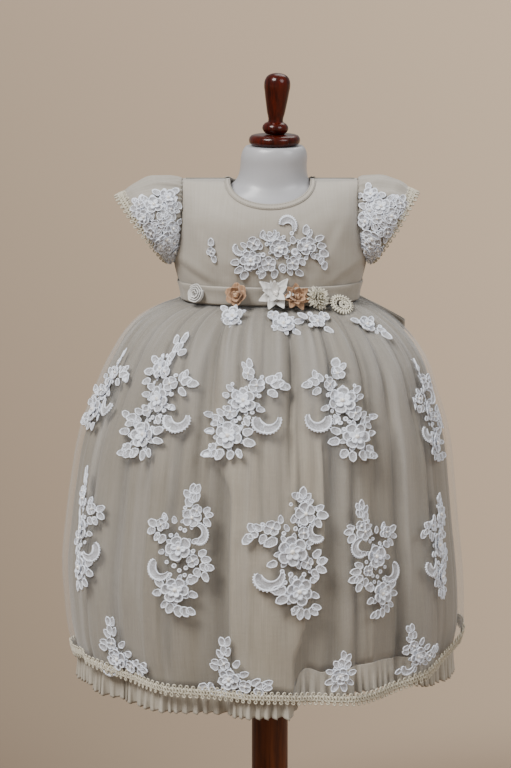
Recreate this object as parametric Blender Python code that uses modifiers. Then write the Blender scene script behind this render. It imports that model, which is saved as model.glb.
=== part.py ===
"""Christening gown on a limbless dress form: cloth walls, trims, belt and turned stand. Metres, +Z up."""

import math

import bmesh
import bpy
import numpy as np
from mathutils import Matrix, Vector

# Driving dimensions. The origin is the centre of the base's underside, the front faces -Y.
COLLECTION = "ChristeningGown"
SEAM_GAP = 0.0003
CLOTH = 0.0012  # wall of the woven cloth
TULLE = 0.0010
LACE = 0.0012
BRAID = 0.0018
BINDING = 0.0010

WAIST = 0.700  # height of the waist seam
BELT_TOP = 0.722
UNDERARM = 0.747
RIDGE = 0.8380  # shoulder seam
NECK_FRONT = 0.8153
NECK_BACK = 0.8260
NECK_HALF = 0.046
SHOULDER_TIP = 0.099
CHEST_START = 0.775  # above this the chest rounds over to the shoulder seam

POLE_RADIUS = 0.021
BASE_RADIUS = 0.160
BASE_HEIGHT = 0.026
NECK_TOP = 0.8752
FORM_STEP = 0.012  # sections further apart than this get one between them
FORM_COLUMNS = 28
FORM_POWER = 2.15
FINIAL_LEAN = math.radians(2.5)

SKIRT_COLUMNS = 64
SKIRT_ROWS = (0.0, 0.025, 0.06, 0.13, 0.26, 0.46, 0.71, 0.962, 1.0)

# Limbless form: height, half width, half depth, sideways shift of the section
FORM_SECTIONS = (
    (0.5860, 0.070, 0.048, 0.000),
    (0.5885, 0.088, 0.061, 0.000),
    (0.5970, 0.097, 0.068, 0.000),
    (0.6300, 0.097, 0.066, 0.000),
    (0.6700, 0.092, 0.062, 0.000),
    (0.7000, 0.090, 0.060, 0.000),
    (0.7300, 0.095, 0.066, 0.000),
    (0.7600, 0.098, 0.070, 0.000),
    (0.7900, 0.095, 0.064, 0.000),
    (0.8100, 0.087, 0.052, 0.000),
    (0.8200, 0.074, 0.0430, 0.000),
    (0.8265, 0.058, 0.0400, 0.001),
    (0.8310, 0.0455, 0.0380, 0.002),
    (0.8380, 0.0405, 0.0370, 0.003),
    (0.8550, 0.0380, 0.0360, 0.004),
    (0.8720, 0.0358, 0.0345, 0.005),
    (0.8752, 0.0325, 0.0320, 0.005),
)

# Bodice cloth: height, half width, half depth
BODICE_SECTIONS = (
    (0.700, 0.1000, 0.066),
    (0.711, 0.1015, 0.067),
    (0.722, 0.1045, 0.070),
    (0.747, 0.1100, 0.075),
    (0.770, 0.1100, 0.075),
    (0.800, 0.1080, 0.075),
    (0.838, 0.1060, 0.075),
)

# Tulle skirt outline: height, half width left, half width right, front depth, back depth, fold share
SKIRT_SECTIONS = (
    (0.6996, 0.1000, 0.1000, 0.066, 0.066, 0.00),
    (0.6920, 0.1230, 0.1180, 0.088, 0.086, 0.18),
    (0.6830, 0.1400, 0.1330, 0.105, 0.102, 0.28),
    (0.6630, 0.1620, 0.1560, 0.130, 0.126, 0.38),
    (0.6400, 0.1770, 0.1730, 0.148, 0.144, 0.50),
    (0.5930, 0.1990, 0.1900, 0.171, 0.166, 0.65),
    (0.5460, 0.2170, 0.2030, 0.186, 0.181, 0.78),
    (0.4880, 0.2280, 0.2100, 0.197, 0.193, 0.90),
    (0.4410, 0.2340, 0.2140, 0.203, 0.199, 0.96),
    (0.3900, 0.2385, 0.2190, 0.206, 0.202, 1.00),
    (0.3480, 0.2360, 0.2210, 0.206, 0.202, 1.00),
    (0.3170, 0.2330, 0.2200, 0.204, 0.200, 1.00),
    (0.2860, 0.2260, 0.2140, 0.201, 0.197, 1.00),
    (0.2400, 0.2240, 0.2100, 0.199, 0.195, 1.00),
)

# Folds of the tulle: angle from the front towards +X in degrees, half width in degrees, rise in mm
SKIRT_FOLDS = (
    (-171, 8, 5.0),
    (-150, 7, -4.5),
    (-133, 8, 5.5),
    (-112, 7, -4.0),
    (-94, 8, 3.0),
    (-74, 6, -4.5),
    (-60, 6, 4.5),
    (-44, 6, -5.0),
    (-31, 6, 4.5),
    (-17, 5, -5.5),
    (-3, 7, 5.0),
    (13, 5, -6.0),
    (25, 6, 4.0),
    (40, 6, -4.5),
    (54, 6, 5.0),
    (70, 7, -4.0),
    (88, 8, 3.0),
    (107, 7, -4.5),
    (124, 7, 5.0),
    (143, 8, -5.0),
    (160, 7, 4.5),
)

# Hem heights: angle in degrees, tulle hem, underskirt hem, frill bottom
HEM_HEIGHTS = (
    (-180, 0.286, 0.277, 0.251),
    (-90, 0.287, 0.277, 0.251),
    (-60, 0.294, 0.278, 0.252),
    (-42, 0.284, 0.274, 0.247),
    (-23, 0.278, 0.272, 0.245),
    (-5, 0.2765, 0.272, 0.245),
    (8, 0.273, 0.274, 0.248),
    (16, 0.271, 0.296, 0.268),
    (31, 0.270, 0.308, 0.277),
    (45, 0.2775, 0.308, 0.277),
    (58, 0.287, 0.300, 0.270),
    (72, 0.296, 0.290, 0.260),
    (90, 0.312, 0.280, 0.255),
    (125, 0.298, 0.277, 0.252),
    (180, 0.286, 0.277, 0.251),
)

# Underskirt: height, distance inside the tulle
UNDER_GAPS = ((0.240, 0.0070), (0.300, 0.0072), (0.400, 0.0080), (0.560, 0.0070), (0.660, 0.0030),
              (0.690, 0.0008), (0.700, 0.0004))

# Sleeves: side, cuff tip reach, cuff tip height, cuff bottom reach, cuff bottom height, puff rise
SLEEVES = (
    ("left", -1, 0.1745, 0.8175, 0.1180, 0.7430, 0.0120),
    ("right", 1, 0.1670, 0.8215, 0.1175, 0.7430, 0.0105),
)
CUFF_HALF_DEPTH = 0.041
SLEEVE_COLUMNS = 24  # four for each of the armhole's columns on one panel
SLEEVE_ROWS = (0.0, 0.14, 0.38, 0.66, 0.86, 1.0)
SLEEVE_LACE_START = 0.16  # share of the turn from the top at which the lace starts, the same at its other end
SLEEVE_LACE_ROWS = slice(1, 4)
CUFF_BRAID_START = 0.12  # share of the last row above the braid
CUFF_BRAID_BELOW = 0.0045
HEM_BRAID_ABOVE = 0.0095
HEM_BRAID_BELOW = 0.0030
FRILL_WAVES = (-0.0018, 0.0010)  # how far the frill's edge goes in and out by turns
TRIM_CLEAR = 0.0012  # behind a belt flower

# Belt trims: name, kind, across, height, radius, petals, thickness
BELT_TRIMS = (
    ("belt_rosette", "rosette", -0.0840, 0.7125, 0.0105, 7, 0.0065),
    ("belt_flower_tan_left", "cloth", -0.0373, 0.7145, 0.0120, 6, 0.0070),
    ("belt_flower_petal", "petal", 0.0050, 0.7165, 0.0112, 5, 0.0060),
    ("belt_flower_tan_right", "cloth", 0.0290, 0.7130, 0.0118, 6, 0.0080),
    ("belt_pompon", "pompon", 0.0535, 0.7105, 0.0112, 9, 0.0100),
    ("belt_guipure_coil", "coil", 0.0800, 0.7000, 0.0112, 8, 0.0040),
    ("belt_lace_flower_left", "petal", -0.0420, 0.6915, 0.0110, 5, 0.0035),
    ("belt_lace_flower_middle", "petal", 0.0140, 0.6850, 0.0125, 5, 0.0035),
    ("belt_lace_flower_right", "petal", 0.0530, 0.6870, 0.0110, 5, 0.0035),
    ("belt_lace_spray", "spray", 0.1130, 0.6780, 0.0140, 6, 0.0030),
)

# Colour, roughness and metallic value of each finish
FINISHES = {
    "beige_cloth": ((0.470, 0.432, 0.372), 0.75, 0.0),
    "tulle": ((0.560, 0.535, 0.500), 0.70, 0.0),
    "white_lace": ((0.780, 0.790, 0.840), 0.70, 0.0),
    "ivory_braid": ((0.640, 0.600, 0.480), 0.75, 0.0),
    "satin": ((0.700, 0.660, 0.600), 0.40, 0.0),
    "tan_flower": ((0.430, 0.280, 0.180), 0.70, 0.0),
    "pearl": ((0.850, 0.830, 0.780), 0.25, 0.0),
    "form_skin": ((0.780, 0.790, 0.800), 0.40, 0.0),
    "mahogany": ((0.110, 0.020, 0.010), 0.20, 0.0),
}


def clear_scene():
    """Remove everything that the new file starts with."""
    for thing in list(bpy.data.objects):
        bpy.data.objects.remove(thing, do_unlink=True)


def finish(name):
    """The Principled material of a finish, made once."""
    if name in bpy.data.materials:
        return bpy.data.materials[name]
    colour, roughness, metallic = FINISHES[name]
    material = bpy.data.materials.new(name)
    material.use_nodes = True
    shader = material.node_tree.nodes["Principled BSDF"]
    shader.inputs["Base Color"].default_value = (*colour, 1.0)
    shader.inputs["Roughness"].default_value = roughness
    shader.inputs["Metallic"].default_value = metallic
    material.diffuse_color = (*colour, 1.0)
    return material


def add_object(name, mesh, finish_name, collection, smooth_angle=40):
    """Link a mesh as a named piece with its finish, shaded smooth up to an angle."""
    piece = bpy.data.objects.new(name, mesh)
    mesh.materials.append(finish(finish_name))
    mesh.shade_smooth()
    mesh.set_sharp_from_angle(angle=math.radians(smooth_angle))
    collection.objects.link(piece)
    return piece


def column(table, index):
    return [row[index] for row in table]


def smooth_table(table, index, at):
    """Value of a table's column at a height or angle, along a smooth curve through its rows."""
    xs = np.array(column(table, 0), float)
    ys = np.array(column(table, index), float)
    slopes = np.gradient(ys, xs)
    at = np.clip(at, xs.min(), xs.max())
    i = np.clip(np.searchsorted(xs, at) - 1, 0, len(xs) - 2)
    step = xs[i + 1] - xs[i]
    t = (at - xs[i]) / step
    return (
        ys[i] * (1 + 2 * t) * (1 - t) ** 2
        + slopes[i] * step * t * (1 - t) ** 2
        + ys[i + 1] * t * t * (3 - 2 * t)
        + slopes[i + 1] * step * t * t * (t - 1)
    )


def ring_point(angle, left, right, front, back, power):
    """A point of a rounded section; the angle runs from the front (-Y) towards +X."""
    s, c = math.sin(angle), math.cos(angle)
    x = math.copysign(abs(s) ** (2 / power), s) * (right if s > 0 else left)
    y = -math.copysign(abs(c) ** (2 / power), c) * (front if c > 0 else back)
    return x, y


# ---------------------------------------------------------------- cloth walls


def grid_normals(points, closed):
    """Outward normals of a grid of points, rows downwards and columns towards +X at the front."""
    if closed:
        across = np.roll(points, -1, axis=1) - np.roll(points, 1, axis=1)
    else:
        across = np.gradient(points, axis=1)
    down = np.gradient(points, axis=0)
    normals = np.cross(down, across)
    return normals / np.linalg.norm(normals, axis=2, keepdims=True)


def wall(name, points, normals, lift, thickness, finish_name, collection, closed=False, cells=None):
    """A closed cloth wall on a grid: its inner face is lifted off the points, its outer one is further out."""
    rows, columns = points.shape[:2]
    spans = columns if closed else columns - 1
    if cells is None:
        cells = np.ones((rows - 1, spans), bool)
    outer = points + normals * (lift + thickness)
    inner = points + normals * lift
    bm = bmesh.new()
    verts = {}

    def vert(layer, r, c):
        key = (layer, r, c % columns)
        if key not in verts:
            source = outer if layer else inner
            verts[key] = bm.verts.new(source[r, c % columns])
        return verts[key]

    def is_cell(r, c):
        if closed:
            c %= spans
        return 0 <= r < rows - 1 and 0 <= c < spans and cells[r, c]

    def quad(a, b, c, d):
        bm.faces.new((a, b, c))
        bm.faces.new((a, c, d))

    for r in range(rows - 1):
        for c in range(spans):
            if not cells[r, c]:
                continue
            corners = ((r, c), (r + 1, c), (r + 1, c + 1), (r, c + 1))
            quad(*(vert(1, *corner) for corner in corners))
            low = [vert(0, *corner) for corner in corners]
            bm.faces.new((low[0], low[2], low[1]))
            bm.faces.new((low[0], low[3], low[2]))
            sides = ((r, c - 1), (r + 1, c), (r, c + 1), (r - 1, c))
            for k, neighbour in enumerate(sides):
                if is_cell(*neighbour):
                    continue
                a, b = corners[k], corners[(k + 1) % 4]
                quad(vert(1, *a), vert(0, *a), vert(0, *b), vert(1, *b))
    bmesh.ops.recalc_face_normals(bm, faces=bm.faces)
    mesh = bpy.data.meshes.new(name)
    bm.to_mesh(mesh)
    bm.free()
    return add_object(name, mesh, finish_name, collection)


def trim_edges(points, by, first=True, last=True):
    """Move the first and last columns inwards along the cloth, so that seams keep their gap."""
    points = points.copy()
    for edge, inside, wanted in ((0, 1, first), (-1, -2, last)):
        if wanted:
            way = points[:, inside] - points[:, edge]
            points[:, edge] += way / np.linalg.norm(way, axis=1, keepdims=True) * by
    return points


# ---------------------------------------------------------------- form and stand


def build_form(collection):
    """Padded torso with its neck, lofted through its sections and closed at both ends."""
    heights = []
    for low, high in zip(FORM_SECTIONS, FORM_SECTIONS[1:]):
        heights.append(low[0])
        if high[0] - low[0] > FORM_STEP:
            heights.append((low[0] + high[0]) / 2)
    heights.append(FORM_SECTIONS[-1][0])
    around = FORM_COLUMNS
    bm = bmesh.new()
    rings = []
    for z in heights:
        w, d, shift = (smooth_table(FORM_SECTIONS, k, z) for k in (1, 2, 3))
        ring = []
        for k in range(around):
            x, y = ring_point(2 * math.pi * k / around, w, w, d, d, FORM_POWER)
            ring.append(bm.verts.new((x + shift, y, z)))
        rings.append(ring)
    for low, high in zip(rings, rings[1:]):
        for k in range(around):
            n = (k + 1) % around
            bm.faces.new((low[k], low[n], high[n], high[k]))
    bm.faces.new(rings[0][::-1])
    bm.faces.new(rings[-1])
    mesh = bpy.data.meshes.new("form_torso")
    bm.to_mesh(mesh)
    bm.free()
    add_object("form_torso", mesh, "form_skin", collection)


def turned(name, profile, finish_name, collection, matrix=None, steps=40):
    """A turned piece: a profile of (radius, height) from top to bottom, closed on its axis, with a Screw."""
    bm = bmesh.new()
    verts = [bm.verts.new((r, 0, z)) for r, z in profile]
    for a, b in zip(verts, verts[1:]):
        bm.edges.new((a, b))
    mesh = bpy.data.meshes.new(name)
    bm.to_mesh(mesh)
    bm.free()
    piece = add_object(name, mesh, finish_name, collection)
    screw = piece.modifiers.new("Turn", "SCREW")
    screw.steps = screw.render_steps = steps
    screw.use_merge_vertices = True
    screw.merge_threshold = 0.00002
    screw.use_smooth_shade = True
    if matrix is not None:
        piece.matrix_world = matrix
    return piece


def arc(centre_r, centre_z, radius, start, end, count):
    """Points of a round stretch of a turned profile, angles in degrees from the radial direction."""
    angles = (math.radians(start + (end - start) * k / count) for k in range(count + 1))
    return [(centre_r + radius * math.cos(a), centre_z + radius * math.sin(a)) for a in angles]


def build_stand(collection):
    """Neck cap with its ball and finial, pole, collar and base, all turned."""
    level = Matrix.Translation((0.005, 0, NECK_TOP + SEAM_GAP))
    lean = level @ Matrix.Translation((0, 0, 0.0005)) @ Matrix.Rotation(FINIAL_LEAN, 4, "Y")
    cap = [(0, 0.0125), (0.0215, 0.0125)]
    cap += arc(0.0235, 0.0062, 0.0058, 70, -80, 6) + [(0.0235, 0.0), (0, 0.0)]
    turned("stand_neck_cap", cap, "mahogany", collection, level, 28)
    finial = [(0, 0.0825), (0.0060, 0.0820), (0.0110, 0.0790), (0.0145, 0.0735), (0.0150, 0.0680)]
    finial += [(0.0140, 0.0610), (0.0120, 0.0480), (0.0098, 0.0345), (0.0085, 0.0290), (0.0088, 0.0268)]
    finial += arc(0.0078, 0.0195, 0.0072, 75, -60, 7) + [(0.0100, 0.0129), (0, 0.0129)]
    turned("stand_finial", finial, "mahogany", collection, lean, 20)
    pole_top = FORM_SECTIONS[0][0] - SEAM_GAP
    collar = [(0, pole_top), (0.040, pole_top)] + arc(0.040, pole_top - 0.006, 0.006, 80, -80, 5)
    collar += [(0.030, pole_top - 0.0125), (0.0265, pole_top - 0.024), (0, pole_top - 0.024)]
    turned("stand_collar", collar, "mahogany", collection, steps=20)
    pole_high = pole_top - 0.024 - SEAM_GAP
    pole_low = BASE_HEIGHT + SEAM_GAP
    pole = [(0, pole_high), (POLE_RADIUS, pole_high)]
    pole += [(POLE_RADIUS, pole_low + (pole_high - pole_low) * k / 3) for k in (2, 1)]
    pole += [(POLE_RADIUS, pole_low), (0, pole_low)]
    turned("stand_pole", pole, "mahogany", collection)
    base = [(0, BASE_HEIGHT), (0.040, BASE_HEIGHT), (0.043, 0.0225), (0.060, 0.0205)]
    base += [(BASE_RADIUS - 0.012, 0.0165)] + arc(BASE_RADIUS - 0.008, 0.0080, 0.0080, 70, -90, 6)
    base += [(0, 0.0)]
    turned("stand_base", base, "mahogany", collection, steps=36)


# ---------------------------------------------------------------- bodice

NECK_COLUMNS, SHOULDER_COLUMNS, ARMHOLE_COLUMNS = 5, 2, 6
BODICE_ROWS = (0.0, 0.2, 0.42, 0.62, 0.8, 0.935, 1.0)
BODICE_POWER = 2.4
HALF_SEAM = SEAM_GAP * 0.6  # each side's share of a seam gap, a little over half
LACE_INSET = 0.03  # share of a row by which the front lace stays clear of the binding and the belt
BUTTON_RADIUS, BUTTON_HEIGHT, BUTTON_ACROSS = 0.0048, 0.0024, 0.0065
BUTTON_ROWS = (2, 3, 4, 5)


def bodice_section(z):
    """Half width and half depth of the bodice cloth; the chest rounds over to the shoulder seam."""
    width = smooth_table(BODICE_SECTIONS, 1, z)
    depth = smooth_table(BODICE_SECTIONS, 2, min(z, CHEST_START))
    if z > CHEST_START:
        share = min((z - CHEST_START) / (RIDGE - CHEST_START), 1.0)
        depth *= math.sqrt(max(0.0, 1 - share**2.5))
    return width, depth


def bodice_angle(x, z):
    """The section angle at which the bodice cloth passes a distance across."""
    share = min(abs(x) / bodice_section(z)[0], 1.0)
    return math.copysign(math.asin(share ** (BODICE_POWER / 2)), x)


def bodice_top(share, neck_height):
    """Distance across and height of a panel's upper edge: neckline, shoulder seam, then armhole."""
    neck = NECK_COLUMNS
    shoulder = neck + SHOULDER_COLUMNS
    if share <= neck:
        turn = share / neck * math.pi / 2
        return NECK_HALF * math.sin(turn), neck_height + (RIDGE - neck_height) * (1 - math.cos(turn))
    if share <= shoulder:
        along = (share - neck) / SHOULDER_COLUMNS
        return NECK_HALF + (SHOULDER_TIP - NECK_HALF) * along, RIDGE
    along = (share - shoulder) / ARMHOLE_COLUMNS
    height = RIDGE + (UNDERARM - RIDGE) * along**1.15
    reach = bodice_section(UNDERARM)[0]
    return SHOULDER_TIP + (reach - SHOULDER_TIP) * along**3, height


def bodice_normal(x, y, z):
    """Outward normal of the bodice cloth: the slope of its section, and of how the section changes with height."""
    if z > RIDGE - 0.0004:
        return (0.0, 0.0, 1.0)
    step = 0.0003
    width, depth = bodice_section(z)
    wider, deeper = bodice_section(z + step)
    across, forward = min(abs(x) / width, 1.0), min(abs(y) / depth, 1.0)
    rise = across**BODICE_POWER * (wider - width) / width + forward**BODICE_POWER * (deeper - depth) / depth
    slope = np.array((math.copysign(across ** (BODICE_POWER - 1) / width, x),
                      math.copysign(forward ** (BODICE_POWER - 1) / depth, y), -rise / step))
    return tuple(slope / np.linalg.norm(slope))


def bodice_grid(front):
    """Points and normals of the front or back cloth, rows from the upper edge down to the waist."""
    half = NECK_COLUMNS + SHOULDER_COLUMNS + ARMHOLE_COLUMNS
    side = -1 if front else 1
    grid = []
    for k in range(-half, half + 1):
        x_top, z_top = bodice_top(abs(k), NECK_FRONT if front else NECK_BACK)
        top_angle = bodice_angle(x_top, z_top)
        low_angle = abs(k) / half * math.pi / 2
        heights = [WAIST, (WAIST + BELT_TOP) / 2]
        turns = [low_angle, low_angle]
        for v in BODICE_ROWS:
            heights.append(BELT_TOP + (z_top - BELT_TOP) * v)
            turns.append(low_angle + (top_angle - low_angle) * v)
        line = []
        for z, turn in zip(heights, turns):
            width, depth = bodice_section(z)
            x, y = ring_point(turn, width, width, depth, depth, BODICE_POWER)
            line.append((math.copysign(x, k) if k else 0.0, -side * y, z))
        grid.append(line[::-1])
    points = np.array(grid).transpose(1, 0, 2)
    normals = np.array([[bodice_normal(*point) for point in row] for row in points])
    return points, normals


def open_seams(points, front):
    """Draw the side and shoulder edges half a seam gap away from the mirror plane between front and back."""
    points = points.copy()
    side = -1 if front else 1
    near = np.abs(points[..., 1]) < HALF_SEAM
    points[near, 1] = side * HALF_SEAM
    return points


def build_bodice(collection):
    """Front panel, two back panels, neck binding, lace on the front and the back buttons."""
    front, front_normals = bodice_grid(True)
    back, back_normals = bodice_grid(False)
    half = NECK_COLUMNS + SHOULDER_COLUMNS + ARMHOLE_COLUMNS
    front_cut = open_seams(front, True)
    back_cut = open_seams(back, False)
    wall("bodice_front", front_cut, front_normals, -CLOTH, CLOTH, "beige_cloth", collection)
    for name, columns in (("right", slice(half, None)), ("left", slice(None, half + 1))):
        panel = back_cut[:, columns]
        panel = trim_edges(panel, SEAM_GAP, name == "right", name == "left")
        wall(f"bodice_back_{name}", panel, back_normals[:, columns], -CLOTH, CLOTH, "beige_cloth", collection)
    build_binding("front", front_cut, front_normals, half - NECK_COLUMNS, half + NECK_COLUMNS, collection)
    build_binding("back_left", back_cut, back_normals, half - NECK_COLUMNS, half, collection)
    build_binding("back_right", back_cut, back_normals, half, half + NECK_COLUMNS, collection)
    build_front_lace(front, front_normals, half, collection)
    build_buttons(back, back_normals, half, collection)
    return front, front_normals, back, back_normals


def build_binding(name, points, normals, first, last, collection):
    """Part of the neck binding: a strip over a panel's first row, between two columns."""
    middle = points.shape[1] // 2
    strip = trim_edges(points[:2, first:last + 1], SEAM_GAP, first == middle, last == middle)
    wall(f"neck_binding_{name}", strip, normals[:2, first:last + 1], SEAM_GAP, BINDING, "beige_cloth", collection)


# Lace on the bodice front: first and last column from the middle, first and last row from the top
FRONT_LACE = ((-4, -1, 4, 6), (-1, 1, 3, 6), (1, 3, 1, 6), (3, 5, 2, 5), (5, 7, 3, 5))


def build_front_lace(front, normals, half, collection):
    """Lace applique: a wall on the front panel's own points, stepped along its uneven outline."""
    cells = np.zeros((front.shape[0] - 1, front.shape[1] - 1), bool)
    for first, last, top, bottom in FRONT_LACE:
        cells[top:bottom, half + first:half + last] = True
    front = front.copy()
    highest = min(row[2] for row in FRONT_LACE)
    lowest = max(row[3] for row in FRONT_LACE)
    front[highest] += (front[highest + 1] - front[highest]) * LACE_INSET
    front[lowest] += (front[lowest - 1] - front[lowest]) * LACE_INSET
    wall("bodice_lace", front, normals, SEAM_GAP, LACE, "white_lace", collection, cells=cells)


def build_buttons(back, normals, half, collection):
    """Four small domed buttons beside the centre back opening."""
    radius, height = BUTTON_RADIUS, BUTTON_HEIGHT
    profile = [(0, height), (radius * 0.5, height * 0.93), (radius * 0.85, height * 0.6), (radius, height * 0.25)]
    profile += [(radius * 0.96, 0.0), (0, 0.0)]
    for k, row in enumerate(BUTTON_ROWS):
        normal = Vector(normals[row, half])
        place = Vector(back[row, half]) + normal * (SEAM_GAP + 0.0003) + Vector((BUTTON_ACROSS, 0, 0))
        turn = normal.to_track_quat("Z", "Y").to_matrix().to_4x4()
        turned(f"back_button_{k + 1}", profile, "pearl", collection, Matrix.Translation(place) @ turn, steps=12)


# ---------------------------------------------------------------- sleeves


def armhole_loop(side):
    """The armhole edge as (across, depth, height), from the top round the front to the bottom and back."""
    corners = []
    start = NECK_COLUMNS + SHOULDER_COLUMNS
    for k in range(ARMHOLE_COLUMNS + 1):
        x, z = bodice_top(start + k, NECK_FRONT)
        width, depth = bodice_section(z)
        y = depth * max(0.0, 1 - min(x / width, 1.0) ** BODICE_POWER) ** (1 / BODICE_POWER)
        corners.append((side * x, -y, z))
    corners = np.array(corners)
    loop = []
    for k in range(SLEEVE_COLUMNS):
        turn = k / SLEEVE_COLUMNS
        along = (1 - abs(1 - 2 * turn)) * ARMHOLE_COLUMNS
        low = min(int(along), ARMHOLE_COLUMNS - 1)
        point = corners[low] + (corners[low + 1] - corners[low]) * (along - low)
        loop.append(point if turn < 0.5 else point * (1, -1, 1))
    return np.array(loop)


def sleeve_grid(side, tip_reach, tip_height, low_reach, low_height, puff):
    """Rows from the armhole to the cuff; columns from the top round the front."""
    head = armhole_loop(side) + np.array((side * (SEAM_GAP + 0.0004), 0, 0))
    tip = np.array((side * tip_reach, 0, tip_height))
    low = np.array((side * low_reach, 0, low_height))
    middle, reach = (tip + low) / 2, (tip - low) / 2
    rows = []
    for t in SLEEVE_ROWS:
        row = []
        for k in range(SLEEVE_COLUMNS):
            turn = 2 * math.pi * k / SLEEVE_COLUMNS
            cuff = middle + reach * math.cos(turn) + np.array((0, -CUFF_HALF_DEPTH * math.sin(turn), 0))
            swell = math.sin(math.pi * min(t * 1.08, 1.0)) ** 0.8
            top = (0.5 + 0.5 * math.cos(turn)) ** 0.8
            gather = 0.0007 * math.cos(8 * turn) * (1 - 0.6 * swell)
            rise = np.array((side * 0.004 * top, -0.013 * math.sin(turn), puff * top))
            point = head[k] * (1 - t) + cuff * t + rise * swell
            out = np.array((0, -math.sin(turn), math.cos(turn)))
            row.append(point + out * gather * math.sin(math.pi * min(0.15 + t, 1)))
        rows.append(row)
    points = np.array(rows)
    normals = grid_normals(points, True) * -side
    return points, normals


def build_sleeves(collection):
    """Puff sleeves, the lace that covers their lower part and the braid round each cuff."""
    for name, side, tip_reach, tip_height, low_reach, low_height, puff in SLEEVES:
        points, normals = sleeve_grid(side, tip_reach, tip_height, low_reach, low_height, puff)
        flip = slice(None) if side > 0 else slice(None, None, -1)
        points, normals = points[:, flip], normals[:, flip]
        wall(f"sleeve_{name}", points, normals, -CLOTH, CLOTH, "beige_cloth", collection, closed=True)
        covered = np.zeros((len(SLEEVE_ROWS) - 1, SLEEVE_COLUMNS), bool)
        first = round(SLEEVE_COLUMNS * SLEEVE_LACE_START)
        covered[SLEEVE_LACE_ROWS, first:SLEEVE_COLUMNS - first] = True
        wall(f"sleeve_lace_{name}", points, normals, SEAM_GAP, LACE, "white_lace", collection,
             closed=True, cells=covered)
        edge = points[-2:]
        cuff_axis = np.cross(edge[1][0] - edge[1][SLEEVE_COLUMNS // 2], (0, 1, 0))
        cuff_axis /= np.linalg.norm(cuff_axis)
        cuff_axis *= math.copysign(1, cuff_axis[0] * side)
        beyond = edge[-1] + cuff_axis * CUFF_BRAID_BELOW
        start = edge[0] + (edge[1] - edge[0]) * CUFF_BRAID_START
        braid = np.array((start, edge[1], beyond))
        braid_normals = np.array((normals[-2], normals[-1], normals[-1]))
        wall(f"cuff_braid_{name}", braid, braid_normals, SEAM_GAP, BRAID, "ivory_braid", collection, closed=True)


# ---------------------------------------------------------------- skirts


def skirt_fold(angle):
    """Rise of the tulle's folds at an angle in degrees, in metres."""
    total = 0.0
    for centre, half_width, rise in SKIRT_FOLDS:
        away = (angle - centre + 180) % 360 - 180
        total += rise * math.exp(-((away / half_width) ** 2))
    return total / 1000


def skirt_section(angle, z):
    """A point of the tulle at an angle in radians and a height."""
    table = tuple(sorted(SKIRT_SECTIONS))
    left, right, front, back, share = (smooth_table(table, k, z) for k in range(1, 6))
    power = 2.4 - 0.35 * min(max((WAIST - z) / 0.12, 0), 1)
    x, y = ring_point(angle, left, right, front, back, power)
    rise = skirt_fold(math.degrees(angle)) * share
    length = math.hypot(x, y)
    return np.array((x * (1 + rise / length), y * (1 + rise / length), z))


def hem_height(angle, index):
    return smooth_table(HEM_HEIGHTS, index, (math.degrees(angle) + 180) % 360 - 180)


def skirt_angles():
    return [2 * math.pi * k / SKIRT_COLUMNS - math.pi for k in range(SKIRT_COLUMNS)]


def skirt_grid(top, hem_index, rows, inset):
    """Rows from the waist to a hem; an inset cloth hangs inside the tulle."""
    angles = skirt_angles()
    lines = []
    for v in rows:
        lines.append([skirt_section(a, top + (hem_height(a, hem_index) - top) * v) for a in angles])
    points = np.array(lines)
    normals = grid_normals(points, True)
    if inset:
        gaps = tuple(sorted(UNDER_GAPS))
        depth = np.vectorize(lambda z: TULLE + smooth_table(gaps, 1, z))(points[..., 2])
        points = points - normals * depth[..., None]
        normals = grid_normals(points, True)
    return points, normals


def halves(name, points, normals, lift, thickness, finish_name, collection):
    """The front and back of a skirt piece, parted at the side seams."""
    quarter = SKIRT_COLUMNS // 4
    for half, start in (("front", quarter), ("back", 3 * quarter)):
        picked = [(start + k) % SKIRT_COLUMNS for k in range(2 * quarter + 1)]
        part = trim_edges(points[:, picked], HALF_SEAM)
        wall(f"{name}_{half}", part, normals[:, picked], lift, thickness, finish_name, collection)


def build_skirts(collection):
    """Underskirt with its gathered frill, tulle overskirt with its braid."""
    top = SKIRT_SECTIONS[0][0]
    tulle, tulle_normals = skirt_grid(top, 1, SKIRT_ROWS, False)
    halves("overskirt", tulle, tulle_normals, -TULLE, TULLE, "tulle", collection)
    under, under_normals = skirt_grid(top, 2, SKIRT_ROWS[:-2] + (1.0,), True)
    halves("underskirt", under, under_normals, -CLOTH, CLOTH, "beige_cloth", collection)
    build_frill(under, under_normals, collection)
    build_hem_braid(tulle, tulle_normals, collection)


def build_frill(under, normals, collection):
    """Gathered strip sewn to the underskirt's hem, waved a little in and out."""
    rows = []
    for v in (0.0, 0.5, 1.0):
        row = []
        for k, angle in enumerate(skirt_angles()):
            edge = under[-1, k]
            out = np.array((normals[-1, k, 0], normals[-1, k, 1], 0))
            out /= np.linalg.norm(out)
            top = edge[2] - SEAM_GAP - 0.0003
            drop = hem_height(angle, 3) - top
            wave = FRILL_WAVES[k % 2] * v
            row.append(edge + out * wave + np.array((0, 0, top + drop * v - edge[2])))
        rows.append(row)
    points = np.array(rows)
    frill_normals = grid_normals(points, True)
    frill_normals[0] = normals[-1]
    halves("frill", points, frill_normals, -CLOTH, CLOTH, "beige_cloth", collection)


def build_hem_braid(tulle, normals, collection):
    """Looped braid on the tulle's hem, reaching a little below its edge."""
    upper, edge = tulle[-2], tulle[-1]
    below = edge + np.array((0, 0, -HEM_BRAID_BELOW))
    upper = edge + (upper - edge) / np.linalg.norm(upper - edge, axis=1, keepdims=True) * HEM_BRAID_ABOVE
    points = np.array((upper, edge, below))
    braid_normals = np.array((normals[-1], normals[-1], normals[-1]))
    halves("hem_braid", points, braid_normals, SEAM_GAP, BRAID, "ivory_braid", collection)


# ---------------------------------------------------------------- belt


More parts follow.
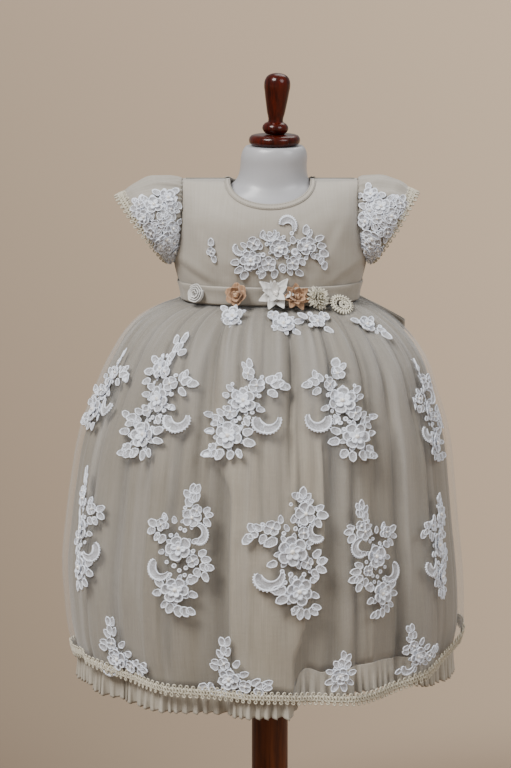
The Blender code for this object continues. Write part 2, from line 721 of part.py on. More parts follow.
def build_belt_band(front, front_normals, back, back_normals, collection):
    """Band round the waist on the bodice's own points, a closed ring."""
    rows = slice(-3, None)
    points = np.concatenate((front[rows], back[rows, ::-1][:, 1:-1]), axis=1)
    normals = np.concatenate((front_normals[rows], back_normals[rows, ::-1][:, 1:-1]), axis=1)
    wall("belt_band", points, normals, SEAM_GAP, CLOTH, "beige_cloth", collection, closed=True)


def cloth_depth(x, z):
    """How far forward the outermost cloth or belt stands at a place on the front."""
    if z >= SKIRT_SECTIONS[0][0]:
        width, depth = bodice_section(z)
        share = min(abs(x) / width, 0.999)
        return depth * (1 - share**BODICE_POWER) ** (1 / BODICE_POWER) + CLOTH + SEAM_GAP
    best = 0.0
    for k in range(0, 100, 2):
        point = skirt_section(math.radians(k if x > 0 else -k), z)
        if abs(point[0]) >= abs(x):
            best = -point[1]
            break
    return best


def trim_place(x, z, radius):
    """Centre and outward direction of a trim whose back rests, just clear, on what lies behind it."""
    best = None
    turn = math.atan2(abs(x) ** 1.4 * 6.0, 0.066) * 0.55
    for tilt in range(0, 70, 5):
        tip = math.radians(tilt)
        out = Vector((math.copysign(math.sin(turn) * math.cos(tip), x), -math.cos(turn) * math.cos(tip),
                      math.sin(tip)))
        side = Vector((0, 0, 1)).cross(out).normalized()
        up = out.cross(side)
        push = 0.0
        for ring in (0.5, 1.0):
            for k in range(12):
                a = 2 * math.pi * k / 12
                spot = (side * math.cos(a) + up * math.sin(a)) * radius * ring
                need = cloth_depth(x + spot.x, z + spot.z) + spot.y
                push = max(push, need)
        if best is None or push < best[0] - 0.0001:
            best = (push, out)
    push, out = best
    return Vector((x, -push - TRIM_CLEAR, z)), out


def flower_mesh(name, radius, petals, thickness, scallop, hollow):
    """A flat-backed flower: petals round the edge and a domed or dished middle."""
    around = petals * 3
    rings = ((1.0, 0.30), (0.97, 0.70), (0.62, 1.0 - hollow * 0.3), (0.28, 1.0 - hollow))
    bm = bmesh.new()
    loops = []
    for share, height in ((0.97, 0.0),) + rings:
        loop = []
        for k in range(around):
            a = 2 * math.pi * k / around
            edge = 1 - scallop * share**2 * (0.5 - 0.5 * math.cos(petals * a))
            loop.append(bm.verts.new((radius * share * edge * math.cos(a), radius * share * edge * math.sin(a),
                                      thickness * height)))
        loops.append(loop)
    for low, high in zip(loops, loops[1:]):
        for k in range(around):
            n = (k + 1) % around
            bm.faces.new((low[k], low[n], high[n], high[k]))
    bm.faces.new(loops[0][::-1])
    bm.faces.new(loops[-1])
    mesh = bpy.data.meshes.new(name)
    bm.to_mesh(mesh)
    bm.free()
    return mesh


# Kind of trim: scallop depth, hollow of its middle, finish
TRIM_KINDS = {
    "rosette": (0.06, 0.20, "satin"),
    "cloth": (0.20, 0.35, "tan_flower"),
    "petal": (0.32, 0.25, "white_lace"),
    "pompon": (0.05, -0.10, "ivory_braid"),
    "coil": (0.05, 0.45, "ivory_braid"),
    "spray": (0.35, 0.10, "white_lace"),
}


def build_belt_trims(collection):
    """Rosette, flowers, pompon, guipure coil and lace along the front of the belt."""
    for name, kind, across, height, radius, petals, thickness in BELT_TRIMS:
        scallop, hollow, finish_name = TRIM_KINDS[kind]
        mesh = flower_mesh(name, radius, petals, thickness, scallop, hollow)
        piece = add_object(name, mesh, finish_name, collection)
        place, out = trim_place(across, height, radius)
        piece.matrix_world = Matrix.Translation(place) @ out.to_track_quat("Z", "Y").to_matrix().to_4x4()


# Bow loops: name, side, reach across, height of the upper edge at the end, half width of the band
BOW_LOOPS = (("left", -1, 0.124, 0.676, 0.022), ("right", 1, 0.157, 0.662, 0.024))
# Bow tails: name, far end across, length down
BOW_TAILS = (("left", -0.050, 0.235), ("right", 0.062, 0.215))
BOW_HEIGHT = 0.7110
BOW_BACK = 0.0810
BOW_CLEAR = 0.0050
KNOT_SIZE = (0.022, 0.016, 0.026)
KNOT_ROUND = 0.005
LOOP_ROOT = 0.0135  # how far across a loop leaves the knot
LOOP_ROOT_HALF = 0.009  # its half width there
LOOP_DEPTH = 0.022
LOOP_LEAN = 0.30
LOOP_STEPS, TAIL_STEPS = 16, 12
TAIL_DROP = 0.0150  # how far below the bow's middle a tail starts
TAIL_HALF, TAIL_WIDENS = 0.005, 0.017


def cloth_back(x, z):
    """How far back the outermost cloth or belt stands at a place on the back."""
    if z >= SKIRT_SECTIONS[0][0]:
        width, depth = bodice_section(z)
        share = min(abs(x) / width, 0.999)
        return depth * (1 - share**BODICE_POWER) ** (1 / BODICE_POWER) + CLOTH + SEAM_GAP
    for degrees in range(180, 84, -2):
        point = skirt_section(math.radians(degrees if x > 0 else -degrees), z)
        if abs(point[0]) >= abs(x):
            return point[1]
    return 0.0


def behind(x, z, half, lean, along_x):
    """Where the middle of a band stands so that its whole width clears the cloth it hangs over."""
    need = 0.0
    for share in (-1.0, 0.0, 1.0):
        dx, dz = (half * share, 0.0) if along_x else (0.0, half * share)
        need = max(need, cloth_back(x + dx, z + dz) + dz * lean)
    return need + BOW_CLEAR


def ribbon(name, path, widths, way, thickness, collection):
    """A band of cloth along a path of points: its width lies along the way given."""
    points, normals = [], []
    side = Vector(way).normalized()
    for k, (spot, half) in enumerate(zip(path, widths)):
        ahead = Vector(path[min(k + 1, len(path) - 1)]) - Vector(path[max(k - 1, 0)])
        normal = ahead.cross(side).normalized()
        points.append([tuple(Vector(spot) + side * half * share) for share in (-1, 0, 1)])
        normals.append([tuple(normal)] * 3)
    wall(name, np.array(points), np.array(normals), 0.0, thickness, "beige_cloth", collection)


def build_bow(collection):
    """Sash bow at the centre back: knot, two loops and two tails hanging over the skirt."""
    knot = bpy.data.meshes.new("bow_knot")
    bm = bmesh.new()
    bmesh.ops.create_cube(bm, size=1.0)
    bmesh.ops.scale(bm, vec=KNOT_SIZE, verts=bm.verts)
    bmesh.ops.bevel(bm, geom=list(bm.edges), offset=KNOT_ROUND, segments=3, affect="EDGES", profile=0.5)
    bm.to_mesh(knot)
    bm.free()
    piece = add_object("bow_knot", knot, "beige_cloth", collection)
    piece.location = (0, BOW_BACK, BOW_HEIGHT)
    for name, side, reach, end_top, half in BOW_LOOPS:
        path, widths = [], []
        for k in range(LOOP_STEPS + 1):
            turn = math.pi * k / LOOP_STEPS
            along = math.sin(turn) ** 0.7
            x = side * (LOOP_ROOT + (reach - LOOP_ROOT) * along)
            width = LOOP_ROOT_HALF + (half - LOOP_ROOT_HALF) * min(along * 1.5, 1.0)
            top = BOW_HEIGHT + 0.009 + (end_top - BOW_HEIGHT - 0.009) * along**1.3
            z = top - width
            y = max(behind(x, z, width, LOOP_LEAN, False), BOW_BACK + 0.002 * along)
            y += LOOP_DEPTH * (0.15 + 0.85 * along) * (1 - math.cos(turn)) / 2
            path.append((x, y, z))
            widths.append(width)
        ribbon(f"bow_loop_{name}", path, widths, (0, -LOOP_LEAN, 1), CLOTH, collection)
    for name, end, length in BOW_TAILS:
        side = math.copysign(1, end)
        path, widths = [], []
        for k in range(TAIL_STEPS + 1):
            v = (k / TAIL_STEPS) ** 1.5
            z = BOW_HEIGHT - TAIL_DROP - length * v
            width = TAIL_HALF + TAIL_WIDENS * min(v * 3, 1.0)
            x = side * 0.009 + (end - side * 0.009) * v**0.8
            x = side * max(abs(x), width + 0.0010)
            path.append((x, behind(x, z, width, 0.0, True), z))
            widths.append(width)
        ribbon(f"bow_tail_{name}", path, widths, (1, 0, 0), CLOTH, collection)


def main():
    clear_scene()
    collection = bpy.data.collections.new(COLLECTION)
    bpy.context.scene.collection.children.link(collection)
    build_form(collection)
    build_stand(collection)
    front, front_normals, back, back_normals = build_bodice(collection)
    build_sleeves(collection)
    build_skirts(collection)
    build_belt_band(front, front_normals, back, back_normals, collection)
    build_belt_trims(collection)
    build_bow(collection)


main()
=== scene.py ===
import math

import bmesh
import bpy
import numpy as np
from mathutils import Matrix, Vector


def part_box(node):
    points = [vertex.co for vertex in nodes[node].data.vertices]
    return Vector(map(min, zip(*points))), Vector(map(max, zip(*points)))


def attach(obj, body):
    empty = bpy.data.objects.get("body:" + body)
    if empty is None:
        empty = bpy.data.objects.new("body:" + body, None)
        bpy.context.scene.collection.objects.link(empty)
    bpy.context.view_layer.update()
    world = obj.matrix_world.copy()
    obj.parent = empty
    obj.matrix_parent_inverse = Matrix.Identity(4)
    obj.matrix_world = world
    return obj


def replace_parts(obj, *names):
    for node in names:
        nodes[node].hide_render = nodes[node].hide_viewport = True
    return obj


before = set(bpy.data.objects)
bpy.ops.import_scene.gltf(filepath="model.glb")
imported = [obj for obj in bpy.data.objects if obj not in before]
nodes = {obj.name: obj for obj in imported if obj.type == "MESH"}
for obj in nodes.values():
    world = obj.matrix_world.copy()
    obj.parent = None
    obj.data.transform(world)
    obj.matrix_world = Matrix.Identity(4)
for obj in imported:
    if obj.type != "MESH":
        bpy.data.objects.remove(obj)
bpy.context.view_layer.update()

bpy.ops.object.select_all(action="DESELECT")

# Camera, floor and light. Lengths in metres, angles in degrees. The gown faces -Y.
studio = {
    "aim": (-0.0167, 0.0, 0.600),
    "lookDown": 9.5,
    "distance": 4.7,
    "pictureHeight": 0.883,
    "sensor": 36.0,
    "floorColour": (0.305, 0.232, 0.166),
    "worldColour": (1.0, 0.965, 0.92),
    "worldStrength": 0.38,
    # name, colour, strength, softness, height angle, direction it comes from (0 = front, 90 = right)
    "lights": (
        ("keyLight", (1.0, 0.985, 0.96), 4.9, 28, 50, -42),
        ("fillLight", (0.95, 0.97, 1.0), 1.35, 30, 34, 48),
        ("backLight", (1.0, 0.97, 0.93), 1.2, 40, 50, 160),
    ),
}


def setStudio():
    down = math.radians(studio["lookDown"])
    data = bpy.data.cameras.new("camera")
    data.sensor_fit = "VERTICAL"
    data.sensor_height = studio["sensor"]
    data.lens = studio["sensor"] * studio["distance"] / studio["pictureHeight"]
    data.clip_end = 200
    camera = bpy.data.objects.new("camera", data)
    away = Vector((0, -math.cos(down), math.sin(down))) * studio["distance"]
    camera.location = Vector(studio["aim"]) + away
    camera.rotation_euler = (math.pi / 2 - down, 0, 0)
    bpy.context.scene.collection.objects.link(camera)
    bpy.context.scene.camera = camera

    world = bpy.data.worlds.new("studioWorld")
    bpy.context.scene.world = world
    world.use_nodes = True
    background = world.node_tree.nodes["Background"]
    background.inputs["Color"].default_value = (*studio["worldColour"], 1)
    background.inputs["Strength"].default_value = studio["worldStrength"]
    for name, colour, strength, softness, height, turn in studio["lights"]:
        light = bpy.data.lights.new(name, "SUN")
        light.energy = strength
        light.color = colour
        light.angle = math.radians(softness)
        lamp = bpy.data.objects.new(name, light)
        lamp.rotation_euler = (math.radians(90 - height), 0, math.radians(turn))
        bpy.context.scene.collection.objects.link(lamp)

    bpy.ops.mesh.primitive_plane_add(size=120, location=(0, 0, 0))
    floor = bpy.context.active_object
    floor.name = "floor"
    bpy.ops.object.mode_set(mode="EDIT")
    bpy.ops.mesh.subdivide(number_cuts=3)
    bpy.ops.object.mode_set(mode="OBJECT")
    floor.select_set(False)
    return floor


# ---- nodes and materials


def put(tree, kind, at=None, **values):
    # One shader node; each value is a number, a colour or another node's output, keyed by socket or setting.
    node = tree.nodes.new("ShaderNode" + kind)
    for key, value in values.items():
        name = key.replace("_", " ")
        if name in node.inputs or key in node.inputs:
            socket = node.inputs[name if name in node.inputs else key]
            if isinstance(value, bpy.types.NodeSocket):
                tree.links.new(value, socket)
            else:
                socket.default_value = value
        else:
            setattr(node, key, value)
    for index, value in (at or {}).items():
        if isinstance(value, bpy.types.NodeSocket):
            tree.links.new(value, node.inputs[index])
        else:
            node.inputs[index].default_value = value
    return node


def maths(tree, operation, a, b=0.0, clamp=False):
    return put(tree, "Math", {0: a, 1: b}, operation=operation, use_clamp=clamp).outputs[0]


def spread(tree, value, low, high, toLow=0.0, toHigh=1.0):
    # Maps a value from low-high to another range, held at both ends.
    return put(tree, "MapRange", {0: value, 1: low, 2: high, 3: toLow, 4: toHigh}).outputs[0]


def mixColour(tree, factor, a, b):
    return put(tree, "Mix", {0: factor, 6: a, 7: b}, data_type="RGBA").outputs[2]


def scaled(tree, vector, x, y, z):
    return put(tree, "Mapping", {0: vector, 3: (x, y, z)}).outputs[0]


def newMaterial(name, **shaderValues):
    material = bpy.data.materials.new(name)
    material.use_nodes = True
    shader = material.node_tree.nodes["Principled BSDF"]
    for key, value in shaderValues.items():
        shader.inputs[key.replace("_", " ")].default_value = value
    return material, material.node_tree, shader


def bumpInto(tree, shader, height, strength, distance):
    bump = put(tree, "Bump", Strength=strength, Distance=distance, Height=height)
    tree.links.new(bump.outputs[0], shader.inputs["Normal"])


def newGroup(name, inputs, outputs):
    group = bpy.data.node_groups.new(name, "ShaderNodeTree")
    for socket, kind, value in inputs:
        made = group.interface.new_socket(socket, in_out="INPUT", socket_type="NodeSocket" + kind)
        if value is not None:
            made.default_value = value
    for socket, kind in outputs:
        group.interface.new_socket(socket, in_out="OUTPUT", socket_type="NodeSocket" + kind)
    return group, group.nodes.new("NodeGroupInput"), group.nodes.new("NodeGroupOutput")


def useGroup(tree, group, **values):
    node = put(tree, "Group", node_tree=group)
    for key, value in values.items():
        if isinstance(value, bpy.types.NodeSocket):
            tree.links.new(value, node.inputs[key])
        else:
            node.inputs[key].default_value = value
    return node


def makeWeaveGroup():
    # Plain weave with uneven slubs. Position is the cloth's own, in metres along the weft and the warp.
    group, source, result = newGroup(
        "weave",
        (("Position", "Vector", None), ("Threads", "Float", 1500.0), ("Slub", "Float", 0.5)),
        (("Height", "Float"), ("Shade", "Float")),
    )
    place, threads, slub = (source.outputs[k] for k in ("Position", "Threads", "Slub"))
    parts = put(group, "SeparateXYZ", Vector=place)
    turns = maths(group, "MULTIPLY", threads, 2 * math.pi)
    warp = maths(group, "SINE", maths(group, "MULTIPLY", parts.outputs[0], turns))
    weft = maths(group, "SINE", maths(group, "MULTIPLY", parts.outputs[1], turns))
    weave = maths(group, "MULTIPLY", warp, weft)
    long = put(group, "TexNoise", Vector=scaled(group, place, 700, 22, 1), Scale=1.0, Detail=3.0).outputs[0]
    short = put(group, "TexNoise", Vector=scaled(group, place, 60, 420, 1), Scale=1.0, Detail=2.0).outputs[0]
    streak = maths(group, "ADD", maths(group, "MULTIPLY", long, 0.72), maths(group, "MULTIPLY", short, 0.28))
    raised = maths(group, "MULTIPLY", streak, slub)
    height = maths(group, "ADD", maths(group, "MULTIPLY", weave, 0.12), raised)
    group.links.new(height, result.inputs["Height"])
    group.links.new(streak, result.inputs["Shade"])
    return group


def makeThreadGroup():
    # Fine raised threads of embroidery and cord. Shade mixes random tone with painted shade: the gaps between the
    # threads are painted darker by their depth.
    group, source, result = newGroup(
        "threads",
        (("Position", "Vector", None), ("Scale", "Float", 900.0)),
        (("Height", "Float"), ("Shade", "Float")),
    )
    place, scale = source.outputs["Position"], source.outputs["Scale"]
    wave = put(group, "TexWave", Vector=place, Scale=maths(group, "MULTIPLY", scale, 0.35),
               Distortion=6.0, Detail=2.0, Detail_Scale=1.5, bands_direction="DIAGONAL")
    knots = put(group, "TexVoronoi", Vector=place, Scale=scale)
    fuzz = put(group, "TexNoise", Vector=place, Scale=maths(group, "MULTIPLY", scale, 0.12), Detail=4.0)
    height = maths(group, "ADD", maths(group, "MULTIPLY", wave.outputs[1], 0.6),
                   maths(group, "MULTIPLY", knots.outputs[0], 0.4))
    gapShadeAndTone = maths(group, "ADD", maths(group, "MULTIPLY", height, 0.5),
                  maths(group, "MULTIPLY", fuzz.outputs[0], 0.5))
    group.links.new(height, result.inputs["Height"])
    group.links.new(gapShadeAndTone, result.inputs["Shade"])
    return group


weaveGroup = makeWeaveGroup()
threadGroup = makeThreadGroup()


def clothMaterial(name, dark, light, roughness=0.62, sheen=0.25, threads=1500.0, slub=0.6, bump=0.35, uv=True,
                  layered=0.0):
    material, tree, shader = newMaterial(name, Roughness=roughness, Sheen_Weight=sheen, Sheen_Roughness=0.45,
                                         Specular_IOR_Level=0.32)
    if uv:
        place = put(tree, "UVMap", uv_map="cloth").outputs[0]
    else:
        place = put(tree, "TexCoord").outputs["Object"]
    weave = useGroup(tree, weaveGroup, Position=place, Threads=threads, Slub=slub)
    broad = put(tree, "TexNoise", Vector=place, Scale=14.0, Detail=3.0).outputs[0]
    tone = maths(tree, "ADD", maths(tree, "MULTIPLY", weave.outputs["Shade"], 0.72),
                 maths(tree, "MULTIPLY", broad, 0.28))
    colour = mixColour(tree, spread(tree, tone, 0.36, 0.64), (*dark, 1), (*light, 1))
    # layered sets how much paler the painted highlight makes the cloth; the painted shade takes it down to 0.58.
    if layered:
        # The attribute read here paints light and shade into the colour: 1 is a painted highlight that makes the
        # front panel paler, 0 is painted shade in the depth of a pleat.
        paintedPanelLightPleatShade = put(tree, "Attribute", attribute_name="paintedPanelLightPleatShade").outputs["Fac"]
        ends = [[share * c for c in tint] for share in (0.58, layered) for tint in (dark, light)]
        # The first mix is the colour of the painted shade, the second that of the painted highlight.
        deep = mixColour(tree, spread(tree, tone, 0.36, 0.64), (*ends[0], 1), (*ends[1], 1))
        paintedHighlightColour = mixColour(tree, spread(tree, tone, 0.36, 0.64), (*ends[2], 1), (*ends[3], 1))
        colour = mixColour(tree, paintedPanelLightPleatShade, deep, paintedHighlightColour)
    tree.links.new(colour, shader.inputs["Base Color"])
    bumpInto(tree, shader, weave.outputs["Height"], bump, 0.0006)
    return material


def threadMaterial(name, dark, light, roughness=0.7, sheen=0.3, scale=900.0, bump=0.6, depth=0.0006):
    material, tree, shader = newMaterial(name, Roughness=roughness, Sheen_Weight=sheen, Sheen_Roughness=0.4,
                                         Specular_IOR_Level=0.35)
    place = put(tree, "TexCoord").outputs["Object"]
    threads = useGroup(tree, threadGroup, Position=place, Scale=scale)
    # The colour follows Shade, so the gaps between the threads carry painted shade.
    colour = mixColour(tree, spread(tree, threads.outputs["Shade"], 0.25, 0.6), (*dark, 1), (*light, 1))
    tree.links.new(colour, shader.inputs["Base Color"])
    bumpInto(tree, shader, threads.outputs["Height"], bump, depth)
    return material


def tulleMaterial():
    # Net: fine threads over holes; the attribute read here says how much net is crowded into a place, and along
    # fold crests it also holds a painted highlight, making the net more opaque and so paler there.
    material, tree, shader = newMaterial("tulleNet", Roughness=0.68, Sheen_Weight=0.35, Sheen_Roughness=0.4,
                                         Specular_IOR_Level=0.3)
    place = put(tree, "UVMap", uv_map="cloth").outputs[0]
    cells = put(tree, "TexVoronoi", Vector=place, Scale=620.0, feature="DISTANCE_TO_EDGE").outputs[0]
    net = spread(tree, cells, 0.02, 0.16, 1.0, 0.55)
    netCrowdingAndCrestLight = put(tree, "Attribute", attribute_name="netCrowdingAndCrestLight").outputs["Fac"]
    drift = put(tree, "TexNoise", Vector=scaled(tree, place, 26, 4, 1), Scale=1.0, Detail=4.0).outputs[0]
    netDensityAndCrestLight = maths(tree, "ADD", netCrowdingAndCrestLight, spread(tree, drift, 0.35, 0.7, -0.02, 0.035))
    alpha = maths(tree, "MULTIPLY", netDensityAndCrestLight, net, True)
    tree.links.new(alpha, shader.inputs["Alpha"])
    tone = mixColour(tree, drift, (0.56, 0.55, 0.53, 1), (0.64, 0.63, 0.62, 1))
    tree.links.new(tone, shader.inputs["Base Color"])
    bumpInto(tree, shader, cells, 0.15, 0.0003)
    return material


def netMaterial():
    # The netted inside of a lace petal: white threads over the darker cloth behind.
    material, tree, shader = newMaterial("laceNet", Roughness=0.75, Sheen_Weight=0.2, Specular_IOR_Level=0.3)
    place = put(tree, "TexCoord").outputs["Object"]
    cells = put(tree, "TexVoronoi", Vector=place, Scale=850.0, feature="DISTANCE_TO_EDGE").outputs[0]
    threads = spread(tree, cells, 0.05, 0.22, 1.0, 0.0)
    broad = put(tree, "TexNoise", Vector=place, Scale=160.0, Detail=2.0).outputs[0]
    mask = maths(tree, "MULTIPLY", threads, spread(tree, broad, 0.3, 0.7, 0.35, 0.85), True)
    colour = mixColour(tree, mask, (0.24, 0.235, 0.235, 1), (0.68, 0.71, 0.79, 1))
    tree.links.new(colour, shader.inputs["Base Color"])
    bumpInto(tree, shader, threads, 0.5, 0.0005)
    return material


def woodMaterial(name, dark, light, roughness):
    material, tree, shader = newMaterial(name, Roughness=roughness, Coat_Weight=0.16, Coat_Roughness=0.05,
                                         Specular_IOR_Level=0.2)
    place = put(tree, "TexCoord").outputs["Object"]
    grain = put(tree, "TexNoise", Vector=scaled(tree, place, 160, 160, 9), Scale=1.0, Detail=6.0,
                Roughness=0.6).outputs[0]
    pores = put(tree, "TexNoise", Vector=scaled(tree, place, 900, 900, 60), Scale=1.0, Detail=2.0).outputs[0]
    tone = maths(tree, "ADD", maths(tree, "MULTIPLY", grain, 0.8), maths(tree, "MULTIPLY", pores, 0.2))
    colour = mixColour(tree, spread(tree, tone, 0.38, 0.64), (*dark, 1), (*light, 1))
    tree.links.new(colour, shader.inputs["Base Color"])
    tree.links.new(spread(tree, tone, 0.3, 0.7, roughness + 0.06, roughness - 0.04), shader.inputs["Roughness"])
    bumpInto(tree, shader, pores, 0.12, 0.0003)
    return material


def skinMaterial():
    material, tree, shader = newMaterial("formSkin", Roughness=0.38, Coat_Weight=0.25, Coat_Roughness=0.2)
    place = put(tree, "TexCoord").outputs["Object"]
    cloudy = put(tree, "TexNoise", Vector=place, Scale=22.0, Detail=4.0).outputs[0]
    fine = put(tree, "TexNoise", Vector=place, Scale=600.0, Detail=2.0).outputs[0]
    tree.links.new(mixColour(tree, cloudy, (0.315, 0.315, 0.330, 1), (0.372, 0.372, 0.388, 1)),
                   shader.inputs["Base Color"])
    tree.links.new(spread(tree, cloudy, 0.3, 0.7, 0.34, 0.45), shader.inputs["Roughness"])
    bumpInto(tree, shader, fine, 0.08, 0.0003)
    return material


def pearlMaterial():
    material, tree, shader = newMaterial("pearlBead", Roughness=0.22, Coat_Weight=0.7, Coat_Roughness=0.1,
                                         Sheen_Weight=0.3)
    place = put(tree, "TexCoord").outputs["Object"]
    cloudy = put(tree, "TexNoise", Vector=place, Scale=240.0, Detail=3.0).outputs[0]
    tree.links.new(mixColour(tree, cloudy, (0.64, 0.62, 0.58, 1), (0.86, 0.84, 0.81, 1)),
                   shader.inputs["Base Color"])
    return material


def floorMaterial():
    material, tree, shader = newMaterial("studioFloor", Roughness=0.9, Specular_IOR_Level=0.1)
    place = put(tree, "TexCoord").outputs["Object"]
    # The plain floor is painted paler towards the back and towards +X, a painted pool of light, and darker towards
    # the front, painted shade.
    parts = put(tree, "SeparateXYZ", Vector=place)
    depth = maths(tree, "ADD", parts.outputs[1], studio["distance"])
    paintedLightAside = spread(tree, maths(tree, "DIVIDE", parts.outputs[0], depth), -0.07, 0.07, 0.0, 0.5)
    away = spread(tree, maths(tree, "DIVIDE", 1.0, depth), 0.19, 0.05, 0.0, 0.5)
    cloudy = put(tree, "TexNoise", Vector=place, Scale=0.25, Detail=2.0).outputs[0]
    tone = maths(tree, "ADD", maths(tree, "ADD", paintedLightAside, away), maths(tree, "MULTIPLY", cloudy, 0.04))
    base = studio["floorColour"]
    tree.links.new(mixColour(tree, tone, (*(0.52 * c for c in base), 1), (*(1.24 * c for c in base), 1)),
                   shader.inputs["Base Color"])
    return material


finishes = {
    # The taffeta's colour carries painted light and shade: paler on the front panel, darker in the pleats.
    "taffeta": clothMaterial("taffeta", (0.172, 0.150, 0.116), (0.222, 0.197, 0.157), slub=0.25, bump=0.2,
                             layered=1.36),
    # The frill's finish is a paler copy of the underskirt's taffeta: painted light that makes the frill look lit.
    "frillCloth": clothMaterial("frillTaffetaPaintedLight", (0.292, 0.263, 0.214), (0.385, 0.354, 0.300), slub=0.3, bump=0.2),
    "bodiceCloth": clothMaterial("bodiceCloth", (0.312, 0.286, 0.245), (0.352, 0.327, 0.286), slub=0.2,
                                 bump=0.18),
    "sleeveCloth": clothMaterial("sleeveCloth", (0.266, 0.244, 0.209), (0.330, 0.307, 0.269), slub=0.25,
                                 bump=0.18),
    "tulle": tulleMaterial(),
    "lace": threadMaterial("laceThread", (0.56, 0.60, 0.71), (0.86, 0.91, 1.0)),
    "laceNet": netMaterial(),
    "ivory": threadMaterial("ivoryThread", (0.40, 0.375, 0.29), (0.70, 0.67, 0.56), scale=700.0),
    "tanLight": threadMaterial("tanCord", (0.34, 0.21, 0.125), (0.54, 0.37, 0.24), scale=700.0),
    "braid": threadMaterial("braidCord", (0.30, 0.27, 0.205), (0.58, 0.54, 0.435), scale=1100.0),
    "satin": clothMaterial("satinRibbon", (0.48, 0.475, 0.46), (0.66, 0.655, 0.64), roughness=0.34, sheen=0.2,
                           threads=3000.0, slub=0.25, bump=0.15, uv=False),
    "tan": clothMaterial("tanOrganza", (0.25, 0.135, 0.072), (0.45, 0.285, 0.172), roughness=0.7, sheen=0.4,
                         slub=0.6, bump=0.4, uv=False),
    "stitch": threadMaterial("stitchThread", (0.17, 0.15, 0.12), (0.27, 0.25, 0.21), scale=2200.0, bump=0.3),
    "pearl": pearlMaterial(),
    "skin": skinMaterial(),
    "mahogany": woodMaterial("mahoganyPolish", (0.014, 0.0012, 0.0003), (0.070, 0.0060, 0.0014), 0.20),
    "poleWood": woodMaterial("mahoganyPole", (0.066, 0.0125, 0.0018), (0.170, 0.0390, 0.0062), 0.34),
}

floor = setStudio()
floor.data.materials.append(floorMaterial())
print("studio and materials made")

# ---- shared shapes

shape = {
    "waist": 0.700,
    "beltTop": 0.722,
    "underarm": 0.747,
    "ridge": 0.8380,
    "neckFront": 0.8153,
    "neckBack": 0.8260,
    "neckHalf": 0.046,
    "shoulderTip": 0.099,
    "chestStart": 0.775,
    "power": 2.4,
    "seam": 0.0003,
    "cloth": 0.0012,
    "columns": (5, 2, 6),  # shares of a panel's half: neckline, shoulder, armhole
    # height, half width, half depth of the bodice
    "bodice": (
        (0.700, 0.1000, 0.066),
        (0.711, 0.1015, 0.067),
        (0.722, 0.1045, 0.070),
        (0.747, 0.1100, 0.075),
        (0.770, 0.1100, 0.075),
        (0.800, 0.1080, 0.075),
        (0.838, 0.1060, 0.075),
    ),
}


def curveThrough(table, index, at):
    rows = np.array(sorted(table), float)
    xs, ys = rows[:, 0], rows[:, index]
    slopes = np.gradient(ys, xs)
    at = np.clip(at, xs[0], xs[-1])
    i = np.clip(np.searchsorted(xs, at) - 1, 0, len(xs) - 2)
    step = xs[i + 1] - xs[i]
    t = (at - xs[i]) / step
    return (ys[i] * (1 + 2 * t) * (1 - t) ** 2 + slopes[i] * step * t * (1 - t) ** 2
            + ys[i + 1] * t * t * (3 - 2 * t) + slopes[i + 1] * step * t * t * (t - 1))


def gridNormals(points, closed):
    # Outward normals of a grid, rows downwards and columns towards +X at the front.
    if closed:
        across = np.roll(points, -1, axis=1) - np.roll(points, 1, axis=1)
    else:
        across = np.gradient(points, axis=1)
    normals = np.cross(np.gradient(points, axis=0), across)
    return normals / np.maximum(np.linalg.norm(normals, axis=2, keepdims=True), 1e-12)


def ramp(value, low, high):
    t = np.clip((value - low) / (high - low), 0, 1)
    return t * t * (3 - 2 * t)


def wrapDegrees(degrees):
    return (degrees + 180) % 360 - 180


def ease(value, limit):
    return limit * np.tanh(value / limit)


def newPiece(name, points, faces, finish, uvs=None, smooth=True):
    # A finished mesh object with one or several finishes; faces may be (corners, finish number).
    mesh = bpy.data.meshes.new(name)
    mesh.from_pydata([tuple(p) for p in points], [], faces)
    finishNames = [finish] if isinstance(finish, str) else list(finish)
    for one in finishNames:
        mesh.materials.append(finishes[one])
    if uvs is not None:
        layer = mesh.uv_layers.new(name="cloth")
        layer.data.foreach_set("uv", np.array(uvs, np.float32).ravel())
    if smooth:
        mesh.shade_smooth()
    mesh.update()
    piece = bpy.data.objects.new(name, mesh)
    bpy.context.scene.collection.objects.link(piece)
    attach(piece, "root")
    return piece


